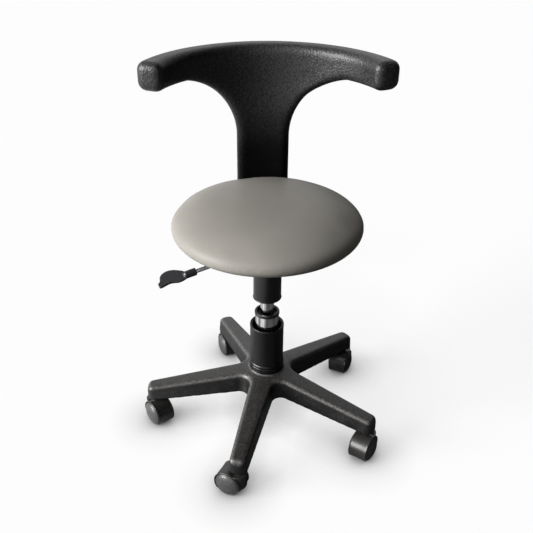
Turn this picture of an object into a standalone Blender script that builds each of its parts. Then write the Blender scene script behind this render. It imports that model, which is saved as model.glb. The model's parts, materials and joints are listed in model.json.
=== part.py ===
"""Swivel stool: five-star base on twin-wheel casters, gas lift, round cushion, T-shaped back and lever.

Metres, +Z up. The sitter faces -Y and the back is at +Y. Sizes are worked out about the column's
axis, and the whole stool then hangs from one empty that centres its footprint on the origin.
"""

import math

import bmesh
import bpy
from mathutils import Matrix, Vector

# Clearances
FIT = 0.0003
RUNNING_FIT = 0.0005
EDGE = 0.001  # broken edge of a turned or moulded piece

# Roundness: sides of a turned piece
FINE_SIDES = 40
TUBE_SIDES = 28
WHEEL_SIDES = 20
PIN_SIDES = 10
ROD_SIDES = 16
PISTON_SIDES = 24
ARC_STEPS = 8

# Casters
CASTER_COUNT = 5
CASTER_TURNS = (307.0, 150.0, 234.0, 244.5, 291.5)  # trailing direction of each, degrees from +X
CASTER_TRAIL = 0.0153
CASTER_HEIGHT = 0.0535  # floor to the top of the hood's boss
WHEEL_RADIUS = 0.025
WHEEL_WIDTH = 0.0160
WHEEL_DOME = 0.003
WHEEL_DOME_STEPS = 3
WHEEL_EDGE = 0.0025
WHEEL_GAP = 0.0006
HOOD_GAP = 0.0012
HOOD_WALL = 0.0016
HOOD_WIDTH = 0.0390
HOOD_BACK_END = -48.0  # degrees above the axle, on the trailing side
HOOD_FRONT_END = 215.0
WEB_THICK = 0.0142
HOOD_STEPS = 15
WELL_GAP = 0.0006  # wheel to the space cut for it in the boss
BOSS_RADIUS = 0.0145
BOSS_SIDES = 16
STEM_RADIUS = 0.0055
STEM_IN_BOSS = 0.0220
STEM_IN_ARM = 0.024
STEM_GAP = 0.0027  # bare stem between the boss and the arm
RING_GROOVE_DEPTH = 0.0013
RING_HEIGHT = 0.0024
RING_DROP = 0.004  # stem's top to the grip ring
AXLE_RADIUS = 0.003
AXLE_BOSS_RADIUS = 0.0065

# Base
ARM_TURN = 182.8  # first arm, degrees from +X
ARM_REACH = 0.2556
ARM_TIP_DEPTH = 0.0310
ARM_ROOT_DEPTH = 0.0415
ARM_ROOT_LIFT = 0.0193  # how far the arm's underside rises towards the hub
ARM_ROOT_AT = 0.065
ARM_START = 0.024  # inside the hub
ARM_TIP_HALF = 0.0182
ARM_ROOT_HALF = 0.0265
ARM_TIP_FLAT = 0.0125
ARM_ROOT_FLAT = 0.0150
ARM_DRAFT = 0.0015
ARM_SHOULDER = 0.008
SHOULDER_OUT = 0.7  # bulge point of the shoulder, as shares of its width and drop
SHOULDER_DOWN = 0.32
ARM_END_ROUND = 0.011
ARM_END_STEPS = 3
ARM_END_FALL = 0.35  # drop of the top at the rounded end, as a share of how far the end draws in
ARM_WALL = 0.0045
ARM_RIB = 0.005
WEB_FILLET = 0.0165  # plan radius between neighbouring arms
WEB_BITE = 0.0006  # how far a fillet runs into the arms
WEB_STEPS = 7
WEB_INNER = 0.6  # half width of a fillet inside the hub, as a share of the hub's boss radius
STEM_INSET = 0.0140  # arm's end to the caster stem
HUB_LIFT = 0.0016
HUB_HEIGHT = 0.0805
HUB_RADIUS = 0.046
HUB_FLARE = 0.003
HUB_BOSS_RADIUS = 0.0315
COLLAR_RADIUS = 0.0362
COLLAR_HEIGHT = 0.016

# Gas lift
STAND_RADIUS = 0.0245
STAND_WALL = 0.002
STAND_TOE = 0.004  # stand tube below the hub, and its floor's thickness
STAND_LENGTH = 0.2090
BUSH_LENGTH = 0.075
BUSH_FLANGE = 0.0024
TUBE_RADIUS = 0.014
TUBE_WALL = 0.0015
TUBE_LENGTH = 0.214
TUBE_HEAD = 0.0185  # solid head that holds the valve
SEAL_LENGTH = 0.014
ROD_RADIUS = 0.005
ROD_END_RADIUS = 0.0042
ROD_END = 0.006
ROD_COLLAR_RADIUS = 0.008
ROD_COLLAR = 0.004
PISTON_LENGTH = 0.012
PISTON_REST = 0.004  # piston above the seal at the top of the travel
BEARING_RADIUS = 0.016
BEARING_HEIGHT = 0.004
CLIP_RADIUS = 0.009
CLIP_HEIGHT = 0.0022
CLIP_GROOVE_DEPTH = 0.0006
TRAVEL = 0.100
LOWER_COVER_RADIUS = 0.0351
LOWER_COVER_WALL = 0.0024
LOWER_COVER_HEIGHT = 0.0955
LOWER_COVER_FLOOR = 0.003
UPPER_COVER_RADIUS = 0.0265
UPPER_COVER_BEAD = 0.0023
UPPER_COVER_BEAD_HEIGHT = 0.0045
UPPER_COVER_HEIGHT = 0.0714
UPPER_COVER_CAP = 0.0018
UPPER_COVER_SPARE = 0.002  # cap above the bush at the bottom of the travel
BUTTON_RADIUS = 0.0045
BUTTON_LENGTH = 0.0150
BUTTON_PROUD = 0.0105
BUTTON_BORE = 0.0112

# Seat
SOCKET_WALL = 0.0067
SOCKET_DEPTH = 0.0337
CHAMBER_RADIUS = 0.0165
CHAMBER_HEIGHT = 0.032
PLATE_SIDE = 0.160
PLATE_THICK = 0.003
PLATE_CORNER = 0.015
SEAT_DIAMETER = 0.360
BOARD_DIAMETER = 0.272
BOARD_THICK = 0.012
CUSHION_LIP = 0.004  # cover that shows round the board
CUSHION_RIM = 0.0289  # widest level above the underside
CUSHION_CROWN = 0.040
CUSHION_SQUARENESS = 2.3  # exponent of the crown's superellipse
CUSHION_STEPS = 11
BOLT_RADIUS = 0.003
BOLT_HEAD_RADIUS = 0.0052
BOLT_HEAD = 0.004
SEAT_BOLT_AT = 0.062
SEAT_BOLT_GRIP = 0.010

# Back
BACK_RISE = 0.2444  # bar's top above the cushion's crown
BACK_GAP = 0.0032  # cushion's rim to the stem
BACK_FACE_RADIUS = 0.2132
BACK_HALF_ANGLE = 70.3
BACK_BAR_HEIGHT = 0.0470
BACK_BAR_THICK = 0.0423
BACK_END_SWELL = 0.0095  # extra thickness of the bar's ends, towards the sitter
BACK_STEM_HALF = 0.047
BACK_STEM_THICK = 0.030
BACK_STEM_CORNER = 0.016
BACK_FILLET = 0.140
BACK_FILLET_TURN = 78.0  # degrees from the stem to where the fillet meets the bar
BACK_END_ROUND = 0.0145
BACK_EDGE_ROUND = 0.011
BACK_EDGE_STEPS = 3
BACK_BENDS = 22  # flat strips that make up the curve
BACK_BLEND = 0.055  # height over which the stem thickens into the bar
BACK_BLEND_STEPS = 4
STRAP_WIDTH = 0.050
STRAP_THICK = 0.006
STRAP_BEND = 0.012
STRAP_GAP = 0.005  # seat plate to the strap's end
STRAP_RISE = 0.150
STRAP_SEAT_BOLTS = (0.012, 0.036)  # from the strap's end
STRAP_BACK_BOLTS = (0.060, 0.120)  # up the strap
BACK_BOLT_GRIP = 0.018

# Lever
LEVER_TURN = 198.3
LEVER_DROP = 11.0
LEVER_PIVOT_REACH = 0.028
LEVER_PIVOT_RISE = 0.0081  # above the gas lift's head
LEVER_ROD_RADIUS = 0.004
LEVER_ROD_INNER = 0.010
LEVER_TONGUE = 0.004
LEVER_TONGUE_PAST = 0.006  # tongue beyond the column's axis
LEVER_PIN_RADIUS = 0.002
LUG_THICK = 0.003
LUG_HALF = 0.006
LUG_DROP = 0.006  # lug below the pin
SLOT_HALF = 0.0055
SLEEVE_RADIUS = 0.0075
SLEEVE_START = 0.148
SLEEVE_LENGTH = 0.025
SLEEVE_END = 0.010  # solid end of the sleeve, past the rod
SLEEVE_TAPER = 0.003
SLEEVE_SIDES = 20
LEAF_THICK = 0.004
LEAF_TILT = 25.0
LEAF_OVERLAP = 0.006
# Leaf outline from the sleeve's end: (along, across), across grows towards the front
LEAF_POINTS = (
    (0.000, -0.0060),
    (0.015, -0.0170),
    (0.029, -0.0215),
    (0.041, -0.0200),
    (0.049, -0.0140),
    (0.0515, -0.0065),
    (0.0565, 0.0020),
    (0.0545, 0.0095),
    (0.035, 0.0070),
    (0.017, 0.0110),
    (0.000, 0.0065),
)

# Levels, from the floor up
ARM_LOW = CASTER_HEIGHT + STEM_GAP
HUB_LOW = ARM_LOW + HUB_LIFT
HUB_TOP = HUB_LOW + HUB_HEIGHT
STAND_LOW = HUB_LOW - STAND_TOE
STAND_TOP = STAND_LOW + STAND_LENGTH
BUSH_TOP = STAND_TOP + FIT + BUSH_FLANGE
CAP_LOW = BUSH_TOP + TRAVEL + UPPER_COVER_SPARE
CAP_TOP = CAP_LOW + UPPER_COVER_CAP
SOCKET_LOW = CAP_TOP + FIT
TUBE_TOP = SOCKET_LOW + SOCKET_DEPTH
TUBE_LOW = TUBE_TOP - TUBE_LENGTH
PLATE_LOW = TUBE_TOP + CHAMBER_HEIGHT
PLATE_TOP = PLATE_LOW + PLATE_THICK
BOARD_LOW = PLATE_TOP + FIT
RIM_LEVEL = BOARD_LOW + CUSHION_RIM
CUSHION_TOP = RIM_LEVEL + CUSHION_CROWN
BAR_TOP = CUSHION_TOP + BACK_RISE
BAR_LOW = BAR_TOP - BACK_BAR_HEIGHT
STEM_FOOT = PLATE_TOP + STRAP_BEND + FIT
BUTTON_TOP = TUBE_TOP + BUTTON_PROUD
PIVOT_LEVEL = TUBE_TOP + LEVER_PIVOT_RISE
ROD_COLLAR_LOW = STAND_LOW + STAND_TOE + FIT + BEARING_HEIGHT + FIT
STEM_REACH = ARM_REACH - STEM_INSET
BACK_CENTRE_Y = SEAT_DIAMETER / 2 + BACK_GAP - BACK_FACE_RADIUS  # centre of the bar's curve, in plan
ROD_HOLE_RADIUS = ROD_END_RADIUS + FIT
BOLT_HOLE_RADIUS = BOLT_RADIUS + FIT
SOCKET_RADIUS = TUBE_RADIUS + FIT + SOCKET_WALL
LEVER_ROD_REACH = SLEEVE_START + SLEEVE_LENGTH - SLEEVE_END


def clear_scene():
    for old in list(bpy.data.objects):
        bpy.data.objects.remove(old)


def material(name, colour, roughness, metallic=0.0):
    """A Principled material with a plain linear colour."""
    made = bpy.data.materials.new(name)
    made.use_nodes = True
    shader = made.node_tree.nodes["Principled BSDF"]
    shader.inputs["Base Color"].default_value = (*colour, 1.0)
    shader.inputs["Roughness"].default_value = roughness
    shader.inputs["Metallic"].default_value = metallic
    made.diffuse_color = (*colour, 1.0)
    return made


def empty(name, parent, location=(0, 0, 0), turn=0.0):
    """A joint's frame: local Z stays up, turned about it by an angle in degrees."""
    made = bpy.data.objects.new(name, None)
    bpy.context.scene.collection.objects.link(made)
    made.parent = parent
    made.location = location
    made.rotation_euler = (0, 0, math.radians(turn))
    return made


def piece(name, bm, look, parent, location=(0, 0, 0), sharp=35.0):
    """A named sub-part made from a bmesh."""
    mesh = bpy.data.meshes.new(name)
    bm.to_mesh(mesh)
    bm.free()
    mesh.shade_smooth()
    mesh.set_sharp_from_angle(angle=math.radians(sharp))
    mesh.materials.append(look)
    made = bpy.data.objects.new(name, mesh)
    bpy.context.scene.collection.objects.link(made)
    made.parent = parent
    made.location = location
    return made


def boolean(target, bm, operation="DIFFERENCE", overlapping=False):
    """Cuts or joins a shape, or several that may overlap, given in the target's own frame."""
    name = f"{target.name}_tool_{len(target.modifiers)}"
    mesh = bpy.data.meshes.new(name)
    bm.to_mesh(mesh)
    bm.free()
    tool = bpy.data.objects.new(name, mesh)
    bpy.context.scene.collection.objects.link(tool)
    tool.parent = target
    tool.hide_render = True
    tool.display_type = "WIRE"
    modifier = target.modifiers.new(name, "BOOLEAN")
    modifier.operation = operation
    modifier.solver = "EXACT"
    modifier.use_self = overlapping
    modifier.object = tool


def arc(centre, radius, start, end, steps=ARC_STEPS):
    """Points on a circle, angles in degrees, both ends included."""
    points = []
    for i in range(steps + 1):
        angle = math.radians(start + (end - start) * i / steps)
        points.append((centre[0] + radius * math.cos(angle), centre[1] + radius * math.sin(angle)))
    return points


def turned(outline, sides=TUBE_SIDES):
    """Solid of revolution about Z from a closed outline of (radius, height)."""
    bm = bmesh.new()
    verts = [bm.verts.new((radius, 0, height)) for radius, height in outline]
    edges = []
    for a, b in zip(verts, verts[1:] + verts[:1]):
        if a.co.x > 0 or b.co.x > 0:
            edges.append(bm.edges.new((a, b)))
    bmesh.ops.spin(
        bm, geom=verts + edges, cent=(0, 0, 0), axis=(0, 0, 1), angle=math.tau, steps=sides, use_merge=True
    )
    bmesh.ops.remove_doubles(bm, verts=bm.verts, dist=1e-6)
    bmesh.ops.recalc_face_normals(bm, faces=bm.faces)
    return bm


def ring(inner, outer, low, high, sides=TUBE_SIDES):
    return turned([(outer, high), (outer, low), (inner, low), (inner, high)], sides)


def rod(radius, low, high, sides=PIN_SIDES):
    return turned([(0, high), (radius, high), (radius, low), (0, low)], sides)


def prism(outline, low, high):
    """Extrusion of a plan outline from one level to another."""
    bm = bmesh.new()
    face = bm.faces.new([bm.verts.new((x, y, low)) for x, y in outline])
    lifted = bmesh.ops.extrude_face_region(bm, geom=[face])["geom"]
    moved = [item for item in lifted if isinstance(item, bmesh.types.BMVert)]
    bmesh.ops.translate(bm, verts=moved, vec=(0, 0, high - low))
    bmesh.ops.recalc_face_normals(bm, faces=bm.faces)
    return bm


def block(x, y, z):
    """Box between (low, high) pairs."""
    return prism([(x[0], y[0]), (x[1], y[0]), (x[1], y[1]), (x[0], y[1])], *z)


def loft(sections):
    """Closed solid through sections with the same number of points."""
    bm = bmesh.new()
    rings = [[bm.verts.new(point) for point in section] for section in sections]
    count = len(rings[0])
    for near, far in zip(rings, rings[1:]):
        for i in range(count):
            j = (i + 1) % count
            bm.faces.new((near[i], near[j], far[j], far[i]))
    bm.faces.new(rings[0])
    bm.faces.new(rings[-1])
    bmesh.ops.recalc_face_normals(bm, faces=bm.faces)
    return bm


def moved(bm, matrix):
    bmesh.ops.transform(bm, matrix=matrix, verts=bm.verts)
    return bm


def merged(*parts):
    """Separate shapes held in one bmesh, for one cut."""
    whole = bmesh.new()
    for part in parts:
        mesh = bpy.data.meshes.new("merged")
        part.to_mesh(mesh)
        part.free()
        whole.from_mesh(mesh)
        bpy.data.meshes.remove(mesh)
    return whole


def turn_z(degrees):
    return Matrix.Rotation(math.radians(degrees), 4, "Z")


def along_y(bm):
    """Turns a piece made about Z so that it lies along Y."""
    return moved(bm, Matrix.Rotation(math.radians(-90), 4, "X"))


def rounded_rectangle(half_x, half_y, radius):
    points = []
    for x, y, start in ((1, 1, 0), (-1, 1, 90), (-1, -1, 180), (1, -1, 270)):
        points += arc((x * (half_x - radius), y * (half_y - radius)), radius, start, start + 90, 3)
    return points


def arm_at(reach):
    """Half width, half flat, underside and top of an arm at a distance from the column."""
    share = (reach - ARM_ROOT_AT) / (ARM_REACH - ARM_ROOT_AT)
    half = ARM_ROOT_HALF + (ARM_TIP_HALF - ARM_ROOT_HALF) * share
    flat = ARM_ROOT_FLAT + (ARM_TIP_FLAT - ARM_ROOT_FLAT) * share
    low = ARM_LOW + ARM_ROOT_LIFT * max(0.0, 1 - share)
    depth = ARM_ROOT_DEPTH + (ARM_TIP_DEPTH - ARM_ROOT_DEPTH) * share
    return half, flat, low, low + depth


def arm_section(reach, inset=0.0):
    """Section of an arm, drawn in from its full size where the end rounds off."""
    half, flat, low, top = arm_at(reach)
    half -= inset
    flat = max(flat - inset, half / 4)
    top -= ARM_END_FALL * inset
    side = half - ARM_DRAFT
    right = [
        (half, low),
        (side, top - ARM_SHOULDER),
        (flat + SHOULDER_OUT * (side - flat), top - SHOULDER_DOWN * ARM_SHOULDER),
        (flat, top),
    ]
    left = [(-y, z) for y, z in reversed(right)]
    return [(reach, y, z) for y, z in right + left]


def arm_body():
    straight = (ARM_START, ARM_ROOT_AT, (ARM_ROOT_AT + STEM_REACH) / 2, ARM_REACH - ARM_END_ROUND)
    sections = [arm_section(reach) for reach in straight]
    for i in range(1, ARM_END_STEPS + 1):
        angle = math.radians(90 * i / ARM_END_STEPS)
        reach = ARM_REACH - ARM_END_ROUND * (1 - math.sin(angle))
        sections.append(arm_section(reach, ARM_END_ROUND * (1 - math.cos(angle))))
    return loft(sections)


def arm_pocket(start, end):
    """Hollow under an arm between two ribs."""
    sections = []
    for reach in (start, end):
        half, flat, low, top = arm_at(reach)
        wide = half - ARM_WALL
        narrow = min(flat, wide) - ARM_DRAFT
        shoulder = top - ARM_SHOULDER
        roof = top - ARM_WALL
        floor = low - ARM_WALL
        sections.append(
            [
                (reach, wide, floor),
                (reach, wide - ARM_DRAFT, shoulder - ARM_WALL),
                (reach, narrow, roof),
                (reach, -narrow, roof),
                (reach, -wide + ARM_DRAFT, shoulder - ARM_WALL),
                (reach, -wide, floor),
            ]
        )
    return loft(sections)


def arm_web():
    """Fillet in the corner between the first arm and the next, drawn in where its top edge slopes."""
    slope = (ARM_TIP_HALF - ARM_ROOT_HALF) / (ARM_REACH - ARM_ROOT_AT)
    bisector = math.radians(180 / CASTER_COUNT)
    lean = math.atan(slope)
    side_at_axis = (ARM_ROOT_HALF - ARM_ROOT_AT * slope) * math.cos(lean) - WEB_BITE
    low = ARM_LOW + ARM_ROOT_LIFT + WEB_BITE
    top = arm_at(ARM_ROOT_AT)[3]
    middle_turn = math.degrees(bisector)
    inner = arc((0, 0), HUB_BOSS_RADIUS, (1 + WEB_INNER) * middle_turn, (1 - WEB_INNER) * middle_turn, 1)
    sections = []
    for drawn_in, level in ((0.0, low), (0.0, top - ARM_SHOULDER), (ARM_SHOULDER, top - ARM_WALL / 2)):
        radius = WEB_FILLET + drawn_in
        centre = (side_at_axis + WEB_FILLET) / math.sin(bisector - lean)
        middle = (centre * math.cos(bisector), centre * math.sin(bisector))
        turn = 90 - math.degrees(bisector - lean)
        face = 180 + middle_turn
        outline = arc(middle, radius, face + turn, face - turn, WEB_STEPS) + inner
        sections.append([(x, y, level) for x, y in outline])
    return loft(sections)


def arm_angles():
    return [ARM_TURN + i * 360 / CASTER_COUNT for i in range(CASTER_COUNT)]


def make_base(parent, nylon):
    hub_bore = STAND_RADIUS + FIT
    hub = turned(
        [
            (COLLAR_RADIUS, HUB_TOP),
            (COLLAR_RADIUS, HUB_TOP - COLLAR_HEIGHT),
            (HUB_RADIUS - HUB_FLARE, HUB_TOP - 2 * COLLAR_HEIGHT),
            (HUB_RADIUS, ARM_LOW + ARM_ROOT_LIFT),
            (HUB_BOSS_RADIUS, ARM_LOW + ARM_ROOT_LIFT),
            (HUB_BOSS_RADIUS, HUB_LOW),
            (0, HUB_LOW),
            (0, HUB_TOP),
        ]
    )
    star = piece("base_star", hub, nylon, parent)
    pocket_end = STEM_REACH - STEM_RADIUS - 2 * ARM_WALL
    pocket_start = HUB_RADIUS + ARM_WALL
    pocket_middle = (pocket_start + pocket_end) / 2
    arms = []
    cuts = [rod(hub_bore, HUB_LOW - ARM_WALL, HUB_TOP + ARM_WALL, TUBE_SIDES)]
    for angle in arm_angles():
        arms += [moved(arm_body(), turn_z(angle)), moved(arm_web(), turn_z(angle))]
        spans = ((pocket_start, pocket_middle - ARM_RIB / 2), (pocket_middle + ARM_RIB / 2, pocket_end))
        for start, end in spans:
            cuts.append(moved(arm_pocket(start, end), turn_z(angle)))
        socket = rod(STEM_RADIUS + FIT, ARM_LOW - ARM_WALL, ARM_LOW + STEM_IN_ARM + 2 * FIT)
        cuts.append(moved(socket, turn_z(angle) @ Matrix.Translation((STEM_REACH, 0, 0))))
    boolean(star, merged(*arms), "UNION", overlapping=True)
    boolean(star, merged(*cuts))


def make_stand(parent, chrome, bush, plastic, steel):
    inner = STAND_RADIUS - STAND_WALL
    floor = STAND_LOW + STAND_TOE
    tube = [
        (STAND_RADIUS, STAND_TOP),
        (STAND_RADIUS, STAND_LOW),
        (ROD_HOLE_RADIUS, STAND_LOW),
        (ROD_HOLE_RADIUS, floor),
        (inner, floor),
        (inner, STAND_TOP),
    ]
    piece("stand_tube", turned(tube), chrome, parent)

    bush_bore = TUBE_RADIUS + FIT
    flange_low = STAND_TOP + FIT
    guide = [
        (STAND_RADIUS - EDGE, BUSH_TOP),
        (STAND_RADIUS, BUSH_TOP - EDGE),
        (STAND_RADIUS, flange_low),
        (inner - FIT, flange_low),
        (inner - FIT, BUSH_TOP - BUSH_LENGTH),
        (bush_bore, BUSH_TOP - BUSH_LENGTH),
        (bush_bore, BUSH_TOP),
    ]
    piece("guide_bush", turned(guide), bush, parent)

    low = HUB_TOP + FIT
    high = low + LOWER_COVER_HEIGHT
    wall = LOWER_COVER_RADIUS - LOWER_COVER_WALL
    cover = [
        (LOWER_COVER_RADIUS - EDGE, high),
        (LOWER_COVER_RADIUS, high - EDGE),
        (LOWER_COVER_RADIUS, low + EDGE),
        (LOWER_COVER_RADIUS - EDGE, low),
        (STAND_RADIUS + FIT, low),
        (STAND_RADIUS + FIT, low + LOWER_COVER_FLOOR),
        (wall, low + LOWER_COVER_FLOOR),
        (wall, high),
    ]
    piece("lower_dust_cover", turned(cover), plastic, parent)

    bearing = ring(ROD_HOLE_RADIUS, BEARING_RADIUS, floor + FIT, floor + FIT + BEARING_HEIGHT)
    piece("thrust_bearing", bearing, steel, parent)


def make_piston(parent, steel, rubber):
    clip_high = STAND_LOW - FIT
    clip_low = clip_high - CLIP_HEIGHT
    groove = ROD_END_RADIUS - CLIP_GROOVE_DEPTH
    collar_high = ROD_COLLAR_LOW + ROD_COLLAR
    piston_low = TUBE_LOW + SEAL_LENGTH + PISTON_REST
    piston_high = piston_low + PISTON_LENGTH
    shaft = [
        (0, piston_high),
        (ROD_RADIUS, piston_high),
        (ROD_RADIUS, collar_high),
        (ROD_COLLAR_RADIUS, collar_high),
        (ROD_COLLAR_RADIUS, ROD_COLLAR_LOW),
        (ROD_END_RADIUS, ROD_COLLAR_LOW),
        (ROD_END_RADIUS, clip_high),
        (groove, clip_high),
        (groove, clip_low - FIT),
        (ROD_END_RADIUS, clip_low - FIT),
        (ROD_END_RADIUS, STAND_LOW - ROD_END),
        (0, STAND_LOW - ROD_END),
    ]
    piece("piston_rod", turned(shaft, ROD_SIDES), steel, parent)
    piece("retaining_clip", ring(groove + FIT, CLIP_RADIUS, clip_low, clip_high - FIT, ROD_SIDES), steel, parent)
    bore = TUBE_RADIUS - TUBE_WALL
    piston = ring(ROD_RADIUS + FIT, bore - FIT, piston_low, piston_high, PISTON_SIDES)
    piece("piston", piston, rubber, parent)


def make_lift_top(parent, chrome, plastic, rubber):
    bore = TUBE_RADIUS - TUBE_WALL
    button_hole = BUTTON_RADIUS + FIT
    tube = [
        (button_hole, TUBE_TOP),
        (TUBE_RADIUS, TUBE_TOP),
        (TUBE_RADIUS, TUBE_LOW),
        (bore, TUBE_LOW),
        (bore, TUBE_TOP - TUBE_HEAD),
        (0, TUBE_TOP - TUBE_HEAD),
        (0, TUBE_TOP - BUTTON_BORE),
        (button_hole, TUBE_TOP - BUTTON_BORE),
    ]
    piece("pressure_tube", turned(tube), chrome, parent)
    seal = ring(ROD_RADIUS + FIT, bore - FIT, TUBE_LOW, TUBE_LOW + SEAL_LENGTH, PISTON_SIDES)
    piece("tube_seal", seal, rubber, parent)

    inner = STAND_RADIUS + RUNNING_FIT
    low = CAP_TOP - UPPER_COVER_HEIGHT
    bead = UPPER_COVER_RADIUS + UPPER_COVER_BEAD
    bead_high = low + UPPER_COVER_BEAD_HEIGHT
    cover = [
        (UPPER_COVER_RADIUS, CAP_TOP),
        (UPPER_COVER_RADIUS, bead_high + UPPER_COVER_BEAD),
        (bead, bead_high),
        (bead, low + EDGE),
        (bead - EDGE, low),
        (inner, low),
        (inner, CAP_LOW),
        (TUBE_RADIUS + FIT, CAP_LOW),
        (TUBE_RADIUS + FIT, CAP_TOP),
    ]
    piece("upper_dust_cover", turned(cover), plastic, parent)


def lever_frame():
    """Placing of shapes drawn with X along the lever, from the column's axis."""
    return turn_z(LEVER_TURN)


def bolt(name, parent, look, location, length, level=False):
    """Bolt with its shank up from the origin and its head below it, or laid level with its head to the rear."""
    outline = [
        (0, length),
        (BOLT_RADIUS, length),
        (BOLT_RADIUS, 0),
        (BOLT_HEAD_RADIUS, 0),
        (BOLT_HEAD_RADIUS, EDGE - BOLT_HEAD),
        (BOLT_HEAD_RADIUS - EDGE, -BOLT_HEAD),
        (0, -BOLT_HEAD),
    ]
    made = piece(name, turned(outline, PIN_SIDES), look, parent, location)
    if level:
        made.rotation_euler = (math.radians(90), 0, 0)


def seat_bolt_places():
    return [(x * SEAT_BOLT_AT, y * SEAT_BOLT_AT) for x in (1, -1) for y in (1, -1)]


def strap_bolt_places():
    return [(0, PLATE_SIDE / 2 + STRAP_GAP + along) for along in STRAP_SEAT_BOLTS]


def make_seat_plate(parent, steel, zinc):
    half = PLATE_SIDE / 2
    plate = prism(rounded_rectangle(half, half, PLATE_CORNER), PLATE_LOW, PLATE_TOP)
    made = piece("seat_plate", plate, steel, parent)
    sink = PLATE_THICK / 2
    socket = [
        (SOCKET_RADIUS, PLATE_LOW + sink),
        (SOCKET_RADIUS, SOCKET_LOW),
        (0, SOCKET_LOW),
        (0, PLATE_LOW + sink),
    ]
    boolean(made, turned(socket), "UNION")
    lug_inner = LEVER_ROD_RADIUS + 2 * FIT
    lug_span = (LEVER_PIVOT_REACH - LUG_HALF - SOCKET_WALL / 2, LEVER_PIVOT_REACH + LUG_HALF)
    lug_levels = (PIVOT_LEVEL - LUG_DROP, PLATE_LOW + sink)
    for side in (1, -1):
        across = sorted((side * lug_inner, side * (lug_inner + LUG_THICK)))
        boolean(made, moved(block(lug_span, across, lug_levels), lever_frame()), "UNION")
    bore = rod(TUBE_RADIUS + FIT, SOCKET_LOW - sink, TUBE_TOP + FIT, TUBE_SIDES)
    chamber = rod(CHAMBER_RADIUS, TUBE_TOP, PLATE_LOW, TUBE_SIDES)
    slot_levels = (PIVOT_LEVEL - LUG_DROP - FIT, PLATE_LOW)
    slot = moved(block((0, SOCKET_RADIUS + sink), (-SLOT_HALF, SLOT_HALF), slot_levels), lever_frame())
    boolean(made, bore)
    boolean(made, chamber)
    boolean(made, slot)
    lug_reach = lug_inner + 2 * LUG_THICK
    pin_hole = along_y(rod(LEVER_PIN_RADIUS + FIT, -lug_reach, lug_reach))
    holes = [moved(pin_hole, lever_frame() @ Matrix.Translation((LEVER_PIVOT_REACH, 0, PIVOT_LEVEL)))]
    for x, y in seat_bolt_places():
        hole = rod(BOLT_HOLE_RADIUS, PLATE_LOW - sink, PLATE_TOP + sink)
        holes.append(moved(hole, Matrix.Translation((x, y, 0))))
    boolean(made, merged(*holes))

    pin = along_y(rod(LEVER_PIN_RADIUS, -lug_inner - LUG_THICK, lug_inner + LUG_THICK))
    pivot = lever_frame() @ Vector((LEVER_PIVOT_REACH, 0, PIVOT_LEVEL))
    piece("lever_pin", moved(pin, turn_z(LEVER_TURN)), zinc, parent, pivot)
    for i, (x, y) in enumerate(seat_bolt_places()):
        length = FIT + PLATE_THICK + FIT + SEAT_BOLT_GRIP
        bolt(f"seat_bolt_{i + 1}", parent, zinc, (x, y, PLATE_LOW - FIT), length)


def make_seat(parent, wood, vinyl):
    board = piece("seat_board", rod(BOARD_DIAMETER / 2, BOARD_LOW, BOARD_LOW + BOARD_THICK, FINE_SIDES), wood, parent)
    holes = []
    for x, y in seat_bolt_places() + strap_bolt_places():
        hole = rod(BOLT_HOLE_RADIUS, BOARD_LOW - FIT, BOARD_LOW + SEAT_BOLT_GRIP + FIT)
        holes.append(moved(hole, Matrix.Translation((x, y, 0))))
    boolean(board, merged(*holes))

    radius = SEAT_DIAMETER / 2
    recess = BOARD_DIAMETER / 2 + FIT
    lip = recess + CUSHION_LIP
    outline = [(0, CUSHION_TOP)]
    for i in range(1, CUSHION_STEPS + 1):
        angle = math.pi / 2 * i / CUSHION_STEPS
        across = radius * math.sin(angle) ** (2 / CUSHION_SQUARENESS)
        rise = CUSHION_CROWN * max(math.cos(angle), 0.0) ** (2 / CUSHION_SQUARENESS)
        outline.append((across, RIM_LEVEL + rise))
    lower_steps = CUSHION_STEPS // 2
    lip_angle = math.asin((lip / radius) ** (CUSHION_SQUARENESS / 2))
    drop = CUSHION_RIM / math.cos(lip_angle) ** (2 / CUSHION_SQUARENESS)
    for i in range(1, lower_steps + 1):
        angle = math.pi / 2 + (lip_angle - math.pi / 2) * i / lower_steps
        across = radius * math.sin(angle) ** (2 / CUSHION_SQUARENESS)
        fall = drop * math.cos(angle) ** (2 / CUSHION_SQUARENESS)
        outline.append((across, RIM_LEVEL - fall))
    roof = BOARD_LOW + BOARD_THICK + FIT
    outline += [(recess, BOARD_LOW), (recess, roof), (0, roof)]
    piece("seat_cushion", turned(outline, FINE_SIDES), vinyl, parent)


def back_outline():
    """Front view of the T: (distance along the curve, height), right half then left half."""
    reach = BACK_FACE_RADIUS * math.radians(BACK_HALF_ANGLE)
    corner = BACK_STEM_CORNER
    end = BACK_END_ROUND
    right = arc((BACK_STEM_HALF - corner, STEM_FOOT + corner), corner, 270, 360, 4)
    right += arc((BACK_STEM_HALF + BACK_FILLET, fillet_level()), BACK_FILLET, 180, 180 - BACK_FILLET_TURN, 9)
    right += arc((reach - end, BAR_LOW + end), end, 270, 360, 4)
    right += arc((reach - end, BAR_TOP - end), end, 0, 90, 4)
    left = [(-x, z) for x, z in reversed(right)]
    return right + left


def fillet_level():
    """Where the stem starts to widen: the fillet leaves the bar almost square to it."""
    return BAR_LOW - BACK_FILLET * math.sin(math.radians(BACK_FILLET_TURN))


def smooth_share(value, low, high):
    share = min(1.0, max(0.0, (value - low) / (high - low)))
    return share * share * (3 - 2 * share)


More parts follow.
